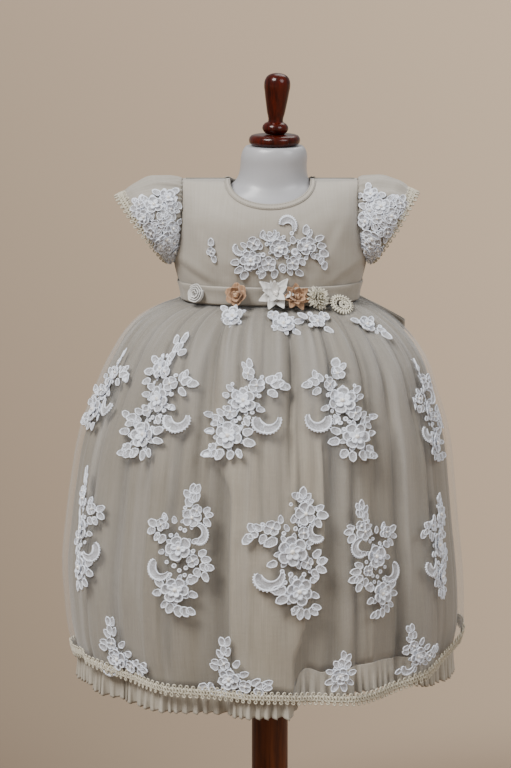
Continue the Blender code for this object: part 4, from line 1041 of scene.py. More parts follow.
def turnedPiece(name, profile, centre, height, finish, steps=96):
    # A ring is added at the first radius, then extruded, lifted and sized through the profile.
    bpy.ops.object.select_all(action="DESELECT")
    first = profile[1]
    bpy.ops.mesh.primitive_circle_add(vertices=steps, radius=first[0], fill_type="NGON",
                                      location=(*centre, height + first[1]))
    piece = bpy.context.active_object
    piece.name = name
    bpy.ops.object.transform_apply(location=True, rotation=True, scale=True)
    bpy.ops.object.mode_set(mode="EDIT")
    bpy.ops.mesh.select_all(action="SELECT")
    for (r0, z0), (r1, z1) in zip(profile[1:-2], profile[2:-1]):
        bpy.ops.mesh.extrude_region_move(TRANSFORM_OT_translate={"value": (0, 0, z1 - z0)})
        grow = r1 / r0
        bpy.ops.transform.resize(value=(grow, grow, 1), center_override=(*centre, height + z1))
    bpy.ops.mesh.select_all(action="SELECT")
    bpy.ops.mesh.normals_make_consistent(inside=False)
    bpy.ops.object.mode_set(mode="OBJECT")
    bpy.ops.object.shade_smooth_by_angle(angle=math.radians(40))
    piece.data.materials.append(finishes[finish])
    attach(piece, "root")
    return piece


def makeStand():
    middle = (stand["centre"], 0)
    low = stand["capBottom"]
    cap = turnedPiece("neck_cap", stand["cap"], middle, low, "mahogany")
    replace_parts(cap, "stand_neck_cap")
    finial = turnedPiece("finial", stand["finial"], middle, low + 0.0125, "mahogany")
    lean = Matrix.Translation((*middle, low)) @ Matrix.Rotation(math.radians(stand["finialLean"]), 4, "Y")
    finial.data.transform(lean @ Matrix.Translation((-middle[0], 0, -low)))
    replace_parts(finial, "stand_finial")
    for name, finish in (("collar", "mahogany"), ("pole", "poleWood"), ("base", "mahogany")):
        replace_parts(turnedPiece(f"turned_{name}", stand[name], (0, 0), 0.0, finish), f"stand_{name}")


def makeForm():
    # The frame's own torso, copied, joined up and made finer.
    bpy.ops.object.select_all(action="DESELECT")
    torso = nodes["form_torso"].copy()
    torso.data = nodes["form_torso"].data.copy()
    torso.name = "dress_form"
    torso.parent = None
    for key in list(torso.keys()):
        del torso[key]
    bpy.context.scene.collection.objects.link(torso)
    bpy.context.view_layer.objects.active = torso
    torso.select_set(True)
    bpy.ops.object.mode_set(mode="EDIT")
    bpy.ops.mesh.select_all(action="SELECT")
    bpy.ops.mesh.remove_doubles(threshold=0.00002)
    bpy.ops.mesh.tris_convert_to_quads()
    bpy.ops.object.mode_set(mode="OBJECT")
    finer = torso.modifiers.new("finer", "SUBSURF")
    finer.levels = finer.render_levels = 2
    bpy.ops.object.modifier_apply(modifier="finer")
    bpy.ops.object.shade_smooth()
    torso.data.materials.clear()
    torso.data.materials.append(finishes["skin"])
    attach(torso, "root")
    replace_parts(torso, "form_torso")
    torso.select_set(False)
    return torso


makeStand()
makeForm()
print("form and stand made")


# ---- lace: small raised parts, laid out flat in millimetres and then wrapped over the cloth

lace = {
    "lift": 0.0004,
    "cord": 1.15,  # height of a corded rim, mm
    "dip": 0.45,  # height inside a rim
    "leafShare": 0.60,  # width of a leaf over its length
}


def layered(outline, levels, middle, centre=(0.0, 0.0)):
    # A closed low relief: the outline drawn in towards a centre at each level, with a flat underside.
    outline, centre = np.asarray(outline, float), np.asarray(centre, float)
    n = len(outline)
    verts = [np.column_stack((centre + (outline - centre) * s, np.full(n, h))) for s, h in levels]
    verts.append(np.array([(*centre, middle)]))
    faces = [tuple(range(n))[::-1]]
    for k in range(len(levels) - 1):
        a, b = k * n, (k + 1) * n
        faces += [(a + i, a + (i + 1) % n, b + (i + 1) % n, b + i) for i in range(n)]
    a, top = (len(levels) - 1) * n, len(levels) * n
    faces += [(a + i, a + (i + 1) % n, top) for i in range(n)]
    return np.concatenate(verts), faces


def turnedFlat(verts, degrees, x=0.0, y=0.0, mirror=False):
    # Turns a flat layout, with its heights kept, and moves it.
    a = math.radians(degrees)
    out = verts.copy()
    px = -verts[:, 0] if mirror else verts[:, 0]
    out[:, 0] = px * math.cos(a) - verts[:, 1] * math.sin(a) + x
    out[:, 1] = px * math.sin(a) + verts[:, 1] * math.cos(a) + y
    return out


def leafPart(length, width, plump=1.0):
    turns = 2 * np.pi * np.arange(12) / 12
    scallop = 1 + 0.04 * np.cos(6 * turns)
    x = length * (0.5 + 0.5 * np.cos(turns) * scallop)
    y = width / 2 * np.sign(np.sin(turns)) * np.abs(np.sin(turns)) ** 0.85 * (1.08 - 0.22 * np.cos(turns)) * scallop
    cord, dip = lace["cord"] * plump, lace["dip"] * plump
    levels = ((1.0, 0.0), (0.96, cord * 0.9), (0.87, cord), (0.77, dip))
    return layered(np.column_stack((x, y)), levels, dip * 1.5, (length * 0.48, 0))


def petalPart(length, width, rise, plump=1.0):
    # Rounded petal that lifts off the cloth towards its tip.
    share = np.array((0.0, 0.12, 0.34, 0.58, 0.80, 0.95))
    half = width / 2 * np.array((0.16, 0.42, 0.78, 1.0, 0.94, 0.60))
    right = np.column_stack((share * length, -half))
    left = np.column_stack((share * length, half))[::-1]
    outline = np.concatenate((right, [(length, -width * 0.16), (length, width * 0.16)], left))
    cord, dip = lace["cord"] * plump, lace["dip"] * plump
    levels = ((1.0, 0.0), (0.97, cord), (0.87, cord * 1.05), (0.78, dip))
    verts, faces = layered(outline, levels, dip * 0.8, (length * 0.55, 0))
    n = len(outline)
    lifted = rise * (verts[:, 0] / length) ** 1.6
    lifted[:n] *= 0.6
    verts[:, 2] += lifted
    return verts, faces


def satinPetal(length, width, rise):
    # A small solid petal, cupped and lifted at its tip.
    share = np.array((0.0, 0.2, 0.48, 0.75, 0.93))
    half = width / 2 * np.array((0.2, 0.66, 1.0, 0.92, 0.55))
    outline = np.concatenate((np.column_stack((share * length, -half)), ((length, 0.0),),
                              np.column_stack((share * length, half))[::-1]))
    verts, faces = layered(outline, ((1.0, 0.0), (1.0, 0.5), (0.62, 0.15)), -0.05, (length * 0.5, 0))
    verts[:, 2] += rise * (verts[:, 0] / length) ** 1.5
    return verts, faces


def domePart(radius, height, sides=8):
    turns = 2 * np.pi * np.arange(sides) / sides
    ring = np.column_stack((np.cos(turns), np.sin(turns))) * radius
    return layered(ring, ((1.0, 0.0), (1.0, height * 0.35), (0.72, height * 0.82)), height)


def ringPart(radius, height=1.0, sides=9):
    turns = 2 * np.pi * np.arange(sides) / sides
    ring = np.column_stack((np.cos(turns), np.sin(turns))) * radius
    return layered(ring, ((1.0, 0.0), (0.9, height), (0.62, height), (0.42, 0.25)), 0.2)


def flowerParts(draw, radius, petals, tall=1.0, layers=2):
    # Loose petals over a corded rim, with a bead of pearls in the middle.
    parts = []
    start = draw.uniform(0, 360)
    for k in range(petals):
        turn = start + 360 * k / petals + draw.uniform(-5, 5)
        length = radius * draw.uniform(0.93, 1.06)
        verts, faces = petalPart(length, length * 1.62 * math.sin(math.pi / petals),
                                 tall * draw.uniform(0.8, 2.2) + 0.3 * (k % 2))
        parts.append((turnedFlat(verts, turn), faces, 2))
    if layers > 1:
        for k in range(petals - 1):
            turn = start + 31 + 360 * k / (petals - 1) + draw.uniform(-8, 8)
            verts, faces = satinPetal(radius * 0.60, radius * 0.46, tall * 2.2 + 0.5 * (k % 2))
            verts[:, 2] += 1.0
            parts.append((turnedFlat(verts, turn), faces, 0))
    verts, faces = domePart(radius * 0.15 + 0.5, 3.2 + 0.4 * layers, 8)
    parts.append((verts, faces, 1))
    return parts


def scrollPart(size, sweep=205, width=0.38):
    # A comma with corded rims and a sunken middle; it opens upwards.
    count = 19
    t = np.linspace(0, 1, count)
    a = np.radians(-200 + sweep * t)
    radius = size * (0.24 + 0.20 * t)
    centre = np.column_stack((radius * np.cos(a), radius * np.sin(a)))
    ahead = np.gradient(centre, axis=0)
    ahead /= np.linalg.norm(ahead, axis=1, keepdims=True)
    side = np.column_stack((ahead[:, 1], -ahead[:, 0]))
    half = size * width * (0.22 + 0.78 * np.sin(np.pi * np.clip(t**0.75 * 0.93 + 0.05, 0, 1)) ** 0.8) / 2
    cord, dip = lace["cord"] * 1.15, lace["dip"]
    section = ((1.0, 0.0), (0.96, cord), (0.74, cord), (0.62, dip), (-0.62, dip), (-0.74, cord), (-0.96, cord),
               (-1.0, 0.0))
    rings = [np.column_stack((centre + side * half[:, None] * s, np.full(count, h))) for s, h in section]
    verts = np.stack(rings, 1).reshape(-1, 3)
    n = len(section)
    faces = []
    for k in range(count - 1):
        a0, b0 = k * n, (k + 1) * n
        faces += [(a0 + i, a0 + (i + 1) % n, b0 + (i + 1) % n, b0 + i) for i in range(n)]
    faces.append(tuple(range(n))[::-1])
    faces.append(tuple((count - 1) * n + i for i in range(n)))
    return verts, faces, centre, side, half


# Motifs. Flowers: x, y, radius, petals, layers. Scrolls: x, y, size, turn, mirrored.
# Leaves: x and y of the foot, direction, length. Rings: x, y, radius. All in mm and degrees.
motifs = {
    "tall": {
        "flowers": ((0, 0, 18, 6, 2), (16, 39, 13.5, 5, 1), (7, -43, 16.5, 6, 2), (-21, 26, 9, 4, 1),
                    (13, 19, 7.5, 4, 1), (17, -13, 8, 4, 1)),
        "scrolls": ((-25, -24, 33, 8, False), (30, 19, 24, -60, True)),
        "leaves": ((11, 51, 104, 12), (12, 54, 76, 13), (14, 52, 48, 12), (9, 56, 150, 10), (16, 50, 20, 10),
                   (28, 42, 28, 11), (29, 38, -12, 12), (27, 34, -52, 12), (-30, 24, 150, 12),
                   (-34, 21, 205, 12), (-40, 20, 232, 13), (-38, 22, 120, 10), (-28, 20, 252, 12),
                   (-16, 15, 215, 14), (-12, 30, 95, 10), (-4, 22, 120, 9), (24, -8, 38, 12), (28, -13, 12, 13),
                   (27, -18, -20, 13), (23, -20, -58, 12), (32, -16, 60, 10), (-6, -40, 178, 16),
                   (-5, -47, 205, 14), (20, -34, 28, 12), (20, -46, -20, 11), (6, -58, 235, 12),
                   (9, -60, 262, 13), (14, -62, 292, 13), (18, -62, 325, 12), (21, -60, 350, 11),
                   (-16, -10, 200, 10), (16, 8, 10, 10), (0, 30, 60, 10)),
        "rings": ((4, 24, 2.6), (9, 28, 2.3), (-9, 20, 2.4), (-2, -24, 2.8), (3, -28, 2.4), (13, -25, 2.5),
                  (-11, -20, 2.3), (19, 3, 2.4), (24, 27, 2.4), (24, 30, 2.1), (-8, -32, 2.4), (-12, -35, 2.2),
                  (-30, 30, 2.2), (20, -22, 2.3), (0, -62, 2.2), (-1, 50, 2.1)),
    },
    "hooked": {
        "flowers": ((0, 0, 15.5, 5, 2), (13, 34, 12.5, 5, 1), (-2, -47, 16, 6, 2), (18, 42, 7.5, 4, 1),
                    (16, -14, 8, 4, 1), (-22, 25, 8, 4, 1)),
        "scrolls": ((-22, -22, 31, -28, False), (20, 15, 26, 92, False)),
        "leaves": ((11, 46, 112, 12), (13, 50, 86, 13), (14, 52, 58, 12), (10, 56, 130, 11), (13, 60, 96, 13),
                   (15, 60, 66, 11), (26, 40, 30, 11), (28, 38, -4, 12), (27, 34, -45, 13), (-12, 22, 142, 12),
                   (-16, 28, 110, 11), (-28, 24, 165, 13), (-30, 20, 205, 12), (-24, 16, 235, 12),
                   (-15, 14, 222, 12), (-5, 27, 100, 9), (22, -8, 32, 12), (25, -12, 5, 14), (24, -18, -28, 13),
                   (30, -20, -8, 13), (19, -22, -62, 12), (28, -26, -58, 12), (-14, -42, 160, 14),
                   (-16, -50, 195, 13), (10, -38, 22, 13), (12, -50, -22, 11), (-5, -62, 250, 12),
                   (0, -64, 282, 13), (5, -66, 305, 13), (10, -68, 332, 12), (-10, -60, 225, 11),
                   (-15, -4, 195, 9), (14, 6, 30, 9)),
        "rings": ((6, 20, 2.5), (1, 22, 2.2), (-9, 14, 2.4), (-4, -20, 2.7), (2, -25, 2.4), (9, -22, 2.5),
                  (-12, -16, 2.3), (16, -3, 2.3), (8, -30, 2.3), (-8, -30, 2.4), (19, 28, 2.2), (-18, 34, 2.1),
                  (14, -31, 2.2), (-26, 14, 2.1), (5, 45, 2.2)),
    },
    "slant": {
        "flowers": ((0, 0, 16.5, 6, 2), (-17, -41, 17.5, 6, 2), (15, 17, 9, 4, 1), (6, 30, 8, 4, 1),
                    (-15, -14, 9, 5, 1)),
        "scrolls": ((23, -21, 33, 4, False),),
        "leaves": ((24, 20, 40, 12), (28, 18, 12, 14), (32, 22, 62, 11), (36, 18, -18, 14), (26, 12, -38, 12),
                   (8, 36, 100, 12), (4, 35, 135, 10), (-22, -18, 150, 12), (-28, -22, 178, 13),
                   (-30, -26, 205, 12), (-24, -28, 120, 10), (-38, -20, 160, 11), (-34, -38, 175, 12),
                   (-30, -52, 215, 13), (-22, -57, 238, 14), (-27, -60, 205, 13), (-34, -62, 190, 13),
                   (-12, -58, 262, 12), (-6, -56, 290, 11), (0, -46, -15, 13), (-1, -38, 20, 13),
                   (-12, 10, 140, 11), (-16, 4, 168, 10), (2, -18, -70, 11), (14, -8, -28, 10)),
        "rings": ((-5, -21, 2.7), (0, -26, 2.5), (-9, -24, 2.3), (6, -19, 2.4), (10, -13, 2.3), (-22, -9, 2.3),
                  (17, 5, 2.4), (8, 17, 2.2), (20, 26, 2.1), (-13, 18, 2.1), (-38, -54, 2.2), (-4, -33, 2.4),
                  (-26, -34, 2.2)),
    },
    "corner": {
        "flowers": ((0, 0, 15, 6, 2), (19, -9, 8.5, 4, 1), (-3, 19, 8.5, 4, 1)),
        "scrolls": ((-19, -8, 25, -12, False),),
        "leaves": ((-4, 26, 122, 12), (-2, 29, 92, 13), (1, 28, 62, 12), (-1, 40, 104, 12), (2, 40, 70, 12),
                   (8, 14, 42, 12), (26, -8, 34, 12), (30, -10, 4, 13), (28, -14, -28, 12), (38, -10, 20, 12),
                   (38, -12, -14, 12), (14, 4, 18, 11), (-12, 12, 150, 12), (-10, 20, 168, 11), (-30, -8, 180, 11),
                   (8, -14, -48, 10), (-6, -14, 240, 10)),
        "rings": ((9, -9, 2.4), (13, -2, 2.2), (-8, 10, 2.3), (3, 12, 2.2), (-9, -9, 2.4), (24, -4, 2.1),
                  (20, -16, 2.1)),
    },
    "sprig": {
        "flowers": ((0, 0, 12.5, 5, 2),),
        "scrolls": (),
        "leaves": ((2, 10, 96, 13), (-2, 11, 130, 12), (5, 9, 60, 12), (4, 22, 100, 12), (6, 20, 62, 11),
                   (-8, -6, 205, 12), (-3, -10, 240, 13), (4, -10, 285, 13), (9, -6, 330, 12), (-9, 4, 168, 11),
                   (10, 3, 15, 11)),
        "rings": ((0, 15, 2.2), (8, 12, 2.1), (-8, 10, 2.1)),
    },
}


motifs["slantTall"] = {
    "flowers": motifs["slant"]["flowers"] + ((-6, 34, 13, 5, 2),),
    "scrolls": motifs["slant"]["scrolls"],
    "leaves": motifs["slant"]["leaves"] + (
        (6, 42, 52, 12), (12, 50, 84, 12), (14, 52, 50, 12), (18, 60, 66, 12), (10, 60, 112, 11),
        (-16, 30, 176, 12), (-14, 40, 140, 11), (18, 50, 8, 11), (-18, 22, 205, 11)),
    "rings": motifs["slant"]["rings"] + ((8, 40, 2.3), (2, 48, 2.2), (-10, 48, 2.2)),
}


def drawMotif(kind, seed):
    # One motif as verts in mm, faces and finish numbers: 0 is thread, 1 is pearl.
    draw = np.random.default_rng(seed)
    plan = motifs[kind]
    parts = []
    for x, y, size, turn, mirror in plan["scrolls"]:
        verts, faces, centre, side, half = scrollPart(size)
        if mirror:
            faces = [face[::-1] for face in faces]
        parts.append((turnedFlat(verts, turn, x, y, mirror), faces, 3))
        edge = centre + side * (half + 0.1)[:, None]
        for k in range(1, len(edge) - 1):
            bead, beadFaces = domePart(0.95, 1.5, 5)
            at = turnedFlat(np.array([(*edge[k], 0.0)]), turn, x, y, mirror)[0]
            parts.append((bead + (at[0], at[1], 0), beadFaces, 0))
    for x, y, turn, length in plan["leaves"]:
        length *= draw.uniform(0.94, 1.12)
        verts, faces = leafPart(length, length * lace["leafShare"] * draw.uniform(0.95, 1.15),
                                draw.uniform(0.85, 1.25))
        parts.append((turnedFlat(verts, turn + draw.uniform(-5, 5), x, y), faces, 2))
    for x, y, radius in plan["rings"]:
        verts, faces = ringPart(radius * 1.1)
        parts.append((verts + (x, y, 0), faces, 2))
    for x, y, radius, petals, layers in plan["flowers"]:
        radius *= 0.90
        if radius > 9.5:  # leaflets that show between the petals
            for k in range(petals + 1):
                turn = 360 * (k + 0.5) / (petals + 1) + draw.uniform(-12, 12)
                foot = radius * 0.60
                verts, faces = leafPart(radius * draw.uniform(0.55, 0.72), radius * 0.36, 0.85)
                spot = (x + foot * math.cos(math.radians(turn)), y + foot * math.sin(math.radians(turn)))
                parts.append((turnedFlat(verts, turn, *spot), faces, 2))
        for verts, faces, kind in flowerParts(draw, radius, petals, 1.0 if layers > 1 else 0.6, layers):
            parts.append((verts + (x, y, 0.2), faces, kind))
    stack = Gathering()
    for verts, faces, kind in parts:
        stack.add(verts, faces, kind)
        if kind == 2:  # only the inner fan is netted, the rims are cord
            fan = sum(1 for face in faces if len(face) == 3)
            stack.kinds[-len(faces):] = [0] * (len(faces) - fan) + [2] * fan
        elif kind == 3:  # the sunken middle of a scroll
            stack.kinds[-len(faces):] = [2 if k % 8 == 3 and k < len(faces) - 2 else 0 for k in range(len(faces))]
    return np.concatenate(stack.verts), stack.faces, stack.kinds


def skirtAngle(x, z, back):
    # The direction in which the skirt passes a distance across, on its front or its back.
    angles = np.radians(np.linspace(-89.9, 89.9, 361))
    if back:
        angles = np.pi - angles
    across = bowl(angles, np.full_like(angles, z))[:, 0]
    order = np.argsort(across)
    return float(np.interp(x, across[order], angles[order]))


def wrapOnSkirt(verts, x, z, turn, mirror, back=False, share=1.0):
    flat = turnedFlat(verts, turn, mirror=mirror) * 0.001 * share
    flat[:, 2] = verts[:, 2] * 0.001
    angle0 = skirtAngle(x, z, back)
    here = bowl(np.array([angle0]), np.array([z]))[0]
    reach = math.hypot(here[0], here[1])
    normal = bowlNormal(np.array([angle0]), np.array([z]))[0]
    steep = math.sqrt(max(1 - normal[2] ** 2, 0.05))
    # Arc length along the section isn't the reach times the angle where it is far from round.
    stretch = np.linalg.norm(bowl(np.array([angle0 + 0.01]), np.array([z]))[0] - here) / 0.01
    angle = angle0 + flat[:, 0] / max(stretch, reach * 0.7)
    height = z + flat[:, 1] * steep
    return tulleAt(angle, height) + bowlNormal(angle, height) * (flat[:, 2] + lace["lift"])[:, None]


# Motif, distance across, height, turn, mirrored, on the back, share of full size
skirtLace = {
    "upper": (
        ("slant", -0.030, 0.609, 0, False, False, 1.0),
        ("slantTall", -0.124, 0.605, 6, False, False, 1.0),
        ("slant", -0.181, 0.610, -4, False, False, 0.9),
        ("slant", 0.080, 0.607, -6, True, False, 0.98),
        ("hooked", 0.178, 0.580, 8, False, False, 0.82),
        ("slant", 0.030, 0.610, 0, True, True, 1.0),
        ("slant", 0.124, 0.600, 10, True, True, 1.0),
        ("slant", -0.060, 0.604, 6, False, True, 0.98),
        ("slant", -0.150, 0.600, 4, True, True, 0.95),
    ),
    "middle": (
        ("tall", 0.024, 0.445, 0, False, False, 1.05),
        ("hooked", -0.102, 0.446, 0, False, False, 1.0),
        ("hooked", -0.212, 0.450, 4, True, False, 0.95),
        ("hooked", 0.117, 0.434, 6, True, False, 0.92),
        ("tall", 0.190, 0.432, -8, False, False, 0.86),
        ("tall", -0.024, 0.440, 0, True, True, 1.0),
        ("hooked", 0.105, 0.445, 0, True, True, 1.0),
        ("hooked", -0.125, 0.436, -4, False, True, 0.95),
        ("hooked", 0.190, 0.450, 0, False, True, 0.9),
        ("tall", -0.196, 0.440, 5, False, True, 0.9),
    ),
    "hem": (
        ("corner", -0.172, 0.308, 8, False, False, 0.95),
        ("corner", -0.046, 0.300, 6, False, False, 0.95),
        ("sprig", 0.078, 0.302, 0, False, False, 0.85),
        ("corner", 0.166, 0.312, 20, False, False, 0.78),
        ("corner", 0.150, 0.316, 8, False, True, 0.95),
        ("corner", 0.030, 0.312, 0, True, True, 0.95),
        ("sprig", -0.070, 0.312, 0, False, True, 0.9),
        ("corner", -0.160, 0.316, -6, True, True, 0.9),
    ),
}


def makeSkirtLace():
    made = []
    for row, places in skirtLace.items():
        stack = Gathering()
        for number, (kind, x, z, turn, mirror, back, share) in enumerate(places):
            verts, faces, kinds = drawMotif(kind, 40 + number + 20 * len(made))
            points = wrapOnSkirt(verts, x, z, turn, mirror, back, share)
            if mirror:
                faces = [face[::-1] for face in faces]
            for face, finishNumber in zip(faces, kinds):
                stack.faces.append(tuple(i + stack.count for i in face))
                stack.kinds.append(finishNumber)
            stack.verts.append(points)
            stack.count += len(points)
        made.append(stack.make(f"skirt_lace_{row}", ("lace", "pearl", "laceNet")))
    return made


skirtLacePieces = makeSkirtLace()
print("skirt lace made")


# ---- looped braid of the hem and cuffs

braid = {
    "pitch": 0.0070,
    "cord": 0.00088,
    "samples": 10,
    "sides": 5,
    "below": 0.0034,  # how far the outer loops reach past the edge
}


def evenly(points, normals, count, closed=True):
    # Points and directions at equal steps along a line.
    loop = np.concatenate((points, points[:1])) if closed else points
    directions = np.concatenate((normals, normals[:1])) if closed else normals
    along = np.concatenate(((0,), np.cumsum(np.linalg.norm(np.diff(loop, axis=0), axis=1))))
    at = np.linspace(0, along[-1], count, endpoint=not closed)
    spots = np.column_stack([np.interp(at, along, loop[:, k]) for k in range(3)])
    out = np.column_stack([np.interp(at, along, directions[:, k]) for k in range(3)])
    return spots, out / np.linalg.norm(out, axis=1, keepdims=True), along[-1]


def loopedBraid(stack, points, normals, up, width):
    # up points from the edge into the cloth, for each point. Two waved cords cross in the middle,
    # a looped one runs along each side.
    length = evenly(points, normals, 8)[2]
    loops = round(length / braid["pitch"])
    count = loops * braid["samples"]
    spots, out, length = evenly(points, normals, count)
    inward = evenly(points, up, count)[1]
    ahead = np.roll(spots, -1, axis=0) - np.roll(spots, 1, axis=0)
    ahead /= np.linalg.norm(ahead, axis=1, keepdims=True)
    phase = 2 * np.pi * loops * np.arange(count) / count
    half = width / 2
    lift = braid["cord"] * 1.5
    sway = 1 + 0.10 * np.sin(phase / 7.3) + 0.07 * np.sin(phase / 3.1 + 1)

    def strand(centre, reach, curl, turn, radius, over):
        along = curl * np.sin(phase + turn)
        rise = centre + reach * np.cos(phase + turn) * sway
        height = lift + over * np.sin(phase + turn)
        line = spots + ahead * along[:, None] + inward * rise[:, None] + out * height[:, None]
        stack.add(*tubeAlong(line, radius, braid["sides"], True, out))

    middle = half - braid["below"]
    strand(middle, half * 0.36, 0.0, 0.0, braid["cord"] * 1.1, 0.0005)
    strand(middle, half * 0.36, 0.0, np.pi, braid["cord"] * 1.1, 0.0005)
    strand(middle + half * 0.58, half * 0.34, -braid["pitch"] * 0.46, 0.0, braid["cord"], 0.0003)
    strand(middle - half * 0.58, half * 0.34, braid["pitch"] * 0.46, 0.0, braid["cord"], 0.0003)


def bandFaces(stack, rows, thickness, normals):
    # A closed ring of tape under the cords.
    outer = np.array(rows) + normals * thickness
    inner = np.array(rows)
    order = [outer[k] for k in range(len(rows))] + [inner[k] for k in range(len(rows) - 1, -1, -1)]
    count = len(order[0])
    verts = np.concatenate(order)
    faces = []
    for r in range(len(order)):
        n = (r + 1) % len(order)
        for c in range(count):
            d = (c + 1) % count
            faces.append((r * count + c, n * count + c, n * count + d, r * count + d))
    stack.add(verts, faces)


def tapeUnder(stack, points, normals, up, width, count):
    spots, out, length = evenly(points, normals, count)
    inward = evenly(points, up, count)[1]
    middle = width / 2 - braid["below"]
    rows = [spots + inward * (middle + width * s) + out * 0.0002 for s in (0.26, 0.0, -0.26)]
    bandFaces(stack, rows, 0.0006, out)


def makeHemBraid():
    angle = np.linspace(-np.pi, np.pi, 1200, endpoint=False)
    low = hemHeight(angle, 1)
    edge = tulleAt(angle, low)
    normals = bowlNormal(angle, low)
    above = tulleAt(angle, low + 0.008) - edge
    above /= np.linalg.norm(above, axis=1, keepdims=True)
    stack = Gathering()
    loopedBraid(stack, edge, normals, above, 0.0150)
    tapeUnder(stack, edge, normals, above, 0.0150, 500)
    piece = stack.make("hem_braid", "braid")
    fixFacing(piece)
    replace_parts(piece, "hem_braid_front", "hem_braid_back")
    return piece


def makeCuffBraids():
    for name in ("left", "right"):
        side = sleeves[name][0]
        turn = np.linspace(0, 1, 300, endpoint=False)
        ones = np.ones_like(turn)
        edge = sleeveAt(name, turn, ones)
        inside = sleeveAt(name, turn, ones * 0.90)
        above = inside - edge
        above /= np.linalg.norm(above, axis=1, keepdims=True)
        normals = sleeveNormal(name, turn, ones * 0.97)
        stack = Gathering()
        loopedBraid(stack, edge, normals, above, 0.0150)
        tapeUnder(stack, edge, normals, above, 0.0150, 160)
        piece = stack.make(f"cuff_braid_loops_{name}", "braid")
        fixFacing(piece)
        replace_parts(piece, f"cuff_braid_{name}")


hemBraid = makeHemBraid()
makeCuffBraids()
print("braids made")


# ---- lace on the bodice and sleeves

# x and y in mm from the middle of the front, 0.760 m up
bodiceLace = {
    "middle": (0.0, 0.760),
    "flowers": ((10, 8, 12, 5, 2), (40.5, 10, 11.5, 5, 2), (-22, -6, 12.5, 6, 2), (-19, 13, 8.5, 4, 1),
                (25, -9, 8.5, 5, 1), (-2, -10, 9.5, 5, 1), (-66, 2, 5.5, 4, 1)),
    "scrolls": ((18, 32, 22, 148, True), (-34, 8, 17, -20, False), (-2, 24, 17, 30, False)),
    "leaves": ((40, 22, 92, 11), (42, 20, 60, 9), (50, 16, 24, 10), (52, 10, -8, 11), (55, 4, -38, 11),
               (56, -2, -75, 11), (50, 0, -50, 10), (60, -8, -82, 10), (46, 2, -60, 9), (33, 2, -110, 9),
               (33, -4, -60, 10), (26, 12, 100, 9), (12, -10, -72, 11), (20, -15, -60, 10), (28, -18, -30, 10),
               (6, -16, -100, 11), (-6, -18, -120, 11), (-30, -14, 215, 11), (-34, -8, 185, 10),
               (-26, -18, 240, 11), (-12, -12, -60, 9), (-10, 6, 120, 10), (-26, 8, 140, 9), (2, 17, 110, 10),
               (6, 18, 70, 9), (-66, 8, 92, 9), (-64, -2, -75, 8), (-9, 18, 80, 10)),
    "rings": ((27.5, 3, 4.2), (24, 24, 2.4), (-8, 0, 2.6), (18, -2, 2.4), (33, 14, 2.2), (46, 12, 2.1),
              (-14, -20, 2.2), (15, 20, 2.2), (-28, 4, 2.2), (-4, 12, 2.2), (40, -4, 2.2), (14, -16, 2.1)),
}
motifs["bodiceFront"] = bodiceLace
motifs["blossom"] = {
    "flowers": ((0, 0, 10.5, 5, 2),),
    "scrolls": (),
    "leaves": ((7, 5, 40, 10), (-6, 6, 130, 10), (-4, -8, 240, 10), (6, -7, 310, 10)),
    "rings": ((0, 10, 2.3), (9, -1, 2.2)),
}
motifs["leafFan"] = {
    "flowers": ((0, 0, 6.5, 4, 1),),
    "scrolls": (),
    "leaves": ((2, 3, 55, 10), (-2, 3, 120, 10), (-4, 0, 175, 10), (4, 0, 5, 10), (2, -4, 300, 10),
               (-2, -4, 240, 10)),
    "rings": ((6, 7, 2.3), (-7, -6, 2.4)),
}

sleeveLace = {
    "rowShares": (0.22, 0.47, 0.72),
    "from": 0.135,
    "to": 0.865,
    "step": 0.073,
    "swing": 0.018,
}


def makeBodiceLace():
    verts, faces, kinds = drawMotif("bodiceFront", 7)
    x0, z0 = bodiceLace["middle"]
    points, normals = onBodice(x0 + verts[:, 0] * 0.001, z0 + verts[:, 1] * 0.001)
    points = points + normals * (verts[:, 2] * 0.001 + 0.0014)[:, None]
    stack = Gathering()
    stack.add(points, faces)
    stack.kinds = kinds
    piece = stack.make("bodice_lace_front", ("lace", "pearl", "laceNet"))
    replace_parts(piece, "bodice_lace")


def wrapOnSleeve(verts, name, turn, t, degrees):
    flat = turnedFlat(verts, degrees) * 0.001
    one = np.array([turn]), np.array([t])
    across = np.linalg.norm(sleeveAt(name, one[0] + 0.01, one[1]) - sleeveAt(name, one[0], one[1])) / 0.01
    down = np.linalg.norm(sleeveAt(name, one[0], one[1] + 0.02) - sleeveAt(name, one[0], one[1])) / 0.02
    side = sleeves[name][0]
    turns = turn - side * flat[:, 0] / across
    ts = np.clip(t - flat[:, 1] / down, 0.02, 0.99)
    return sleeveAt(name, turns, ts) + sleeveNormal(name, turns, ts) * (flat[:, 2] + 0.0016)[:, None]


def makeSleeveLace():
    for name in ("left", "right"):
        draw = np.random.default_rng(5 if name == "left" else 6)
        stack = Gathering()
        number = 0
        for row, t in enumerate(sleeveLace["rowShares"]):
            turn = sleeveLace["from"] + sleeveLace["step"] * 0.5 * (row % 2)
            while turn < sleeveLace["to"]:
                kind = "blossom" if (number + row) % 2 == 0 else "leafFan"
                verts, faces, kinds = drawMotif(kind, 300 + number)
                share = draw.uniform(0.85, 1.05)
                at = (turn + draw.uniform(-1, 1) * sleeveLace["swing"], t + draw.uniform(-0.05, 0.05))
                points = wrapOnSleeve(verts * (share, share, 1), name, at[0], at[1], draw.uniform(0, 360))
                for face, kind in zip(faces, kinds):
                    stack.faces.append(tuple(i + stack.count for i in face))
                    stack.kinds.append(kind)
                stack.verts.append(points)
                stack.count += len(points)
                number += 1
                turn += sleeveLace["step"]
        piece = stack.make(f"sleeve_lace_flowers_{name}", ("lace", "pearl", "laceNet"))
        fixFacing(piece)
        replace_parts(piece, f"sleeve_lace_{name}")


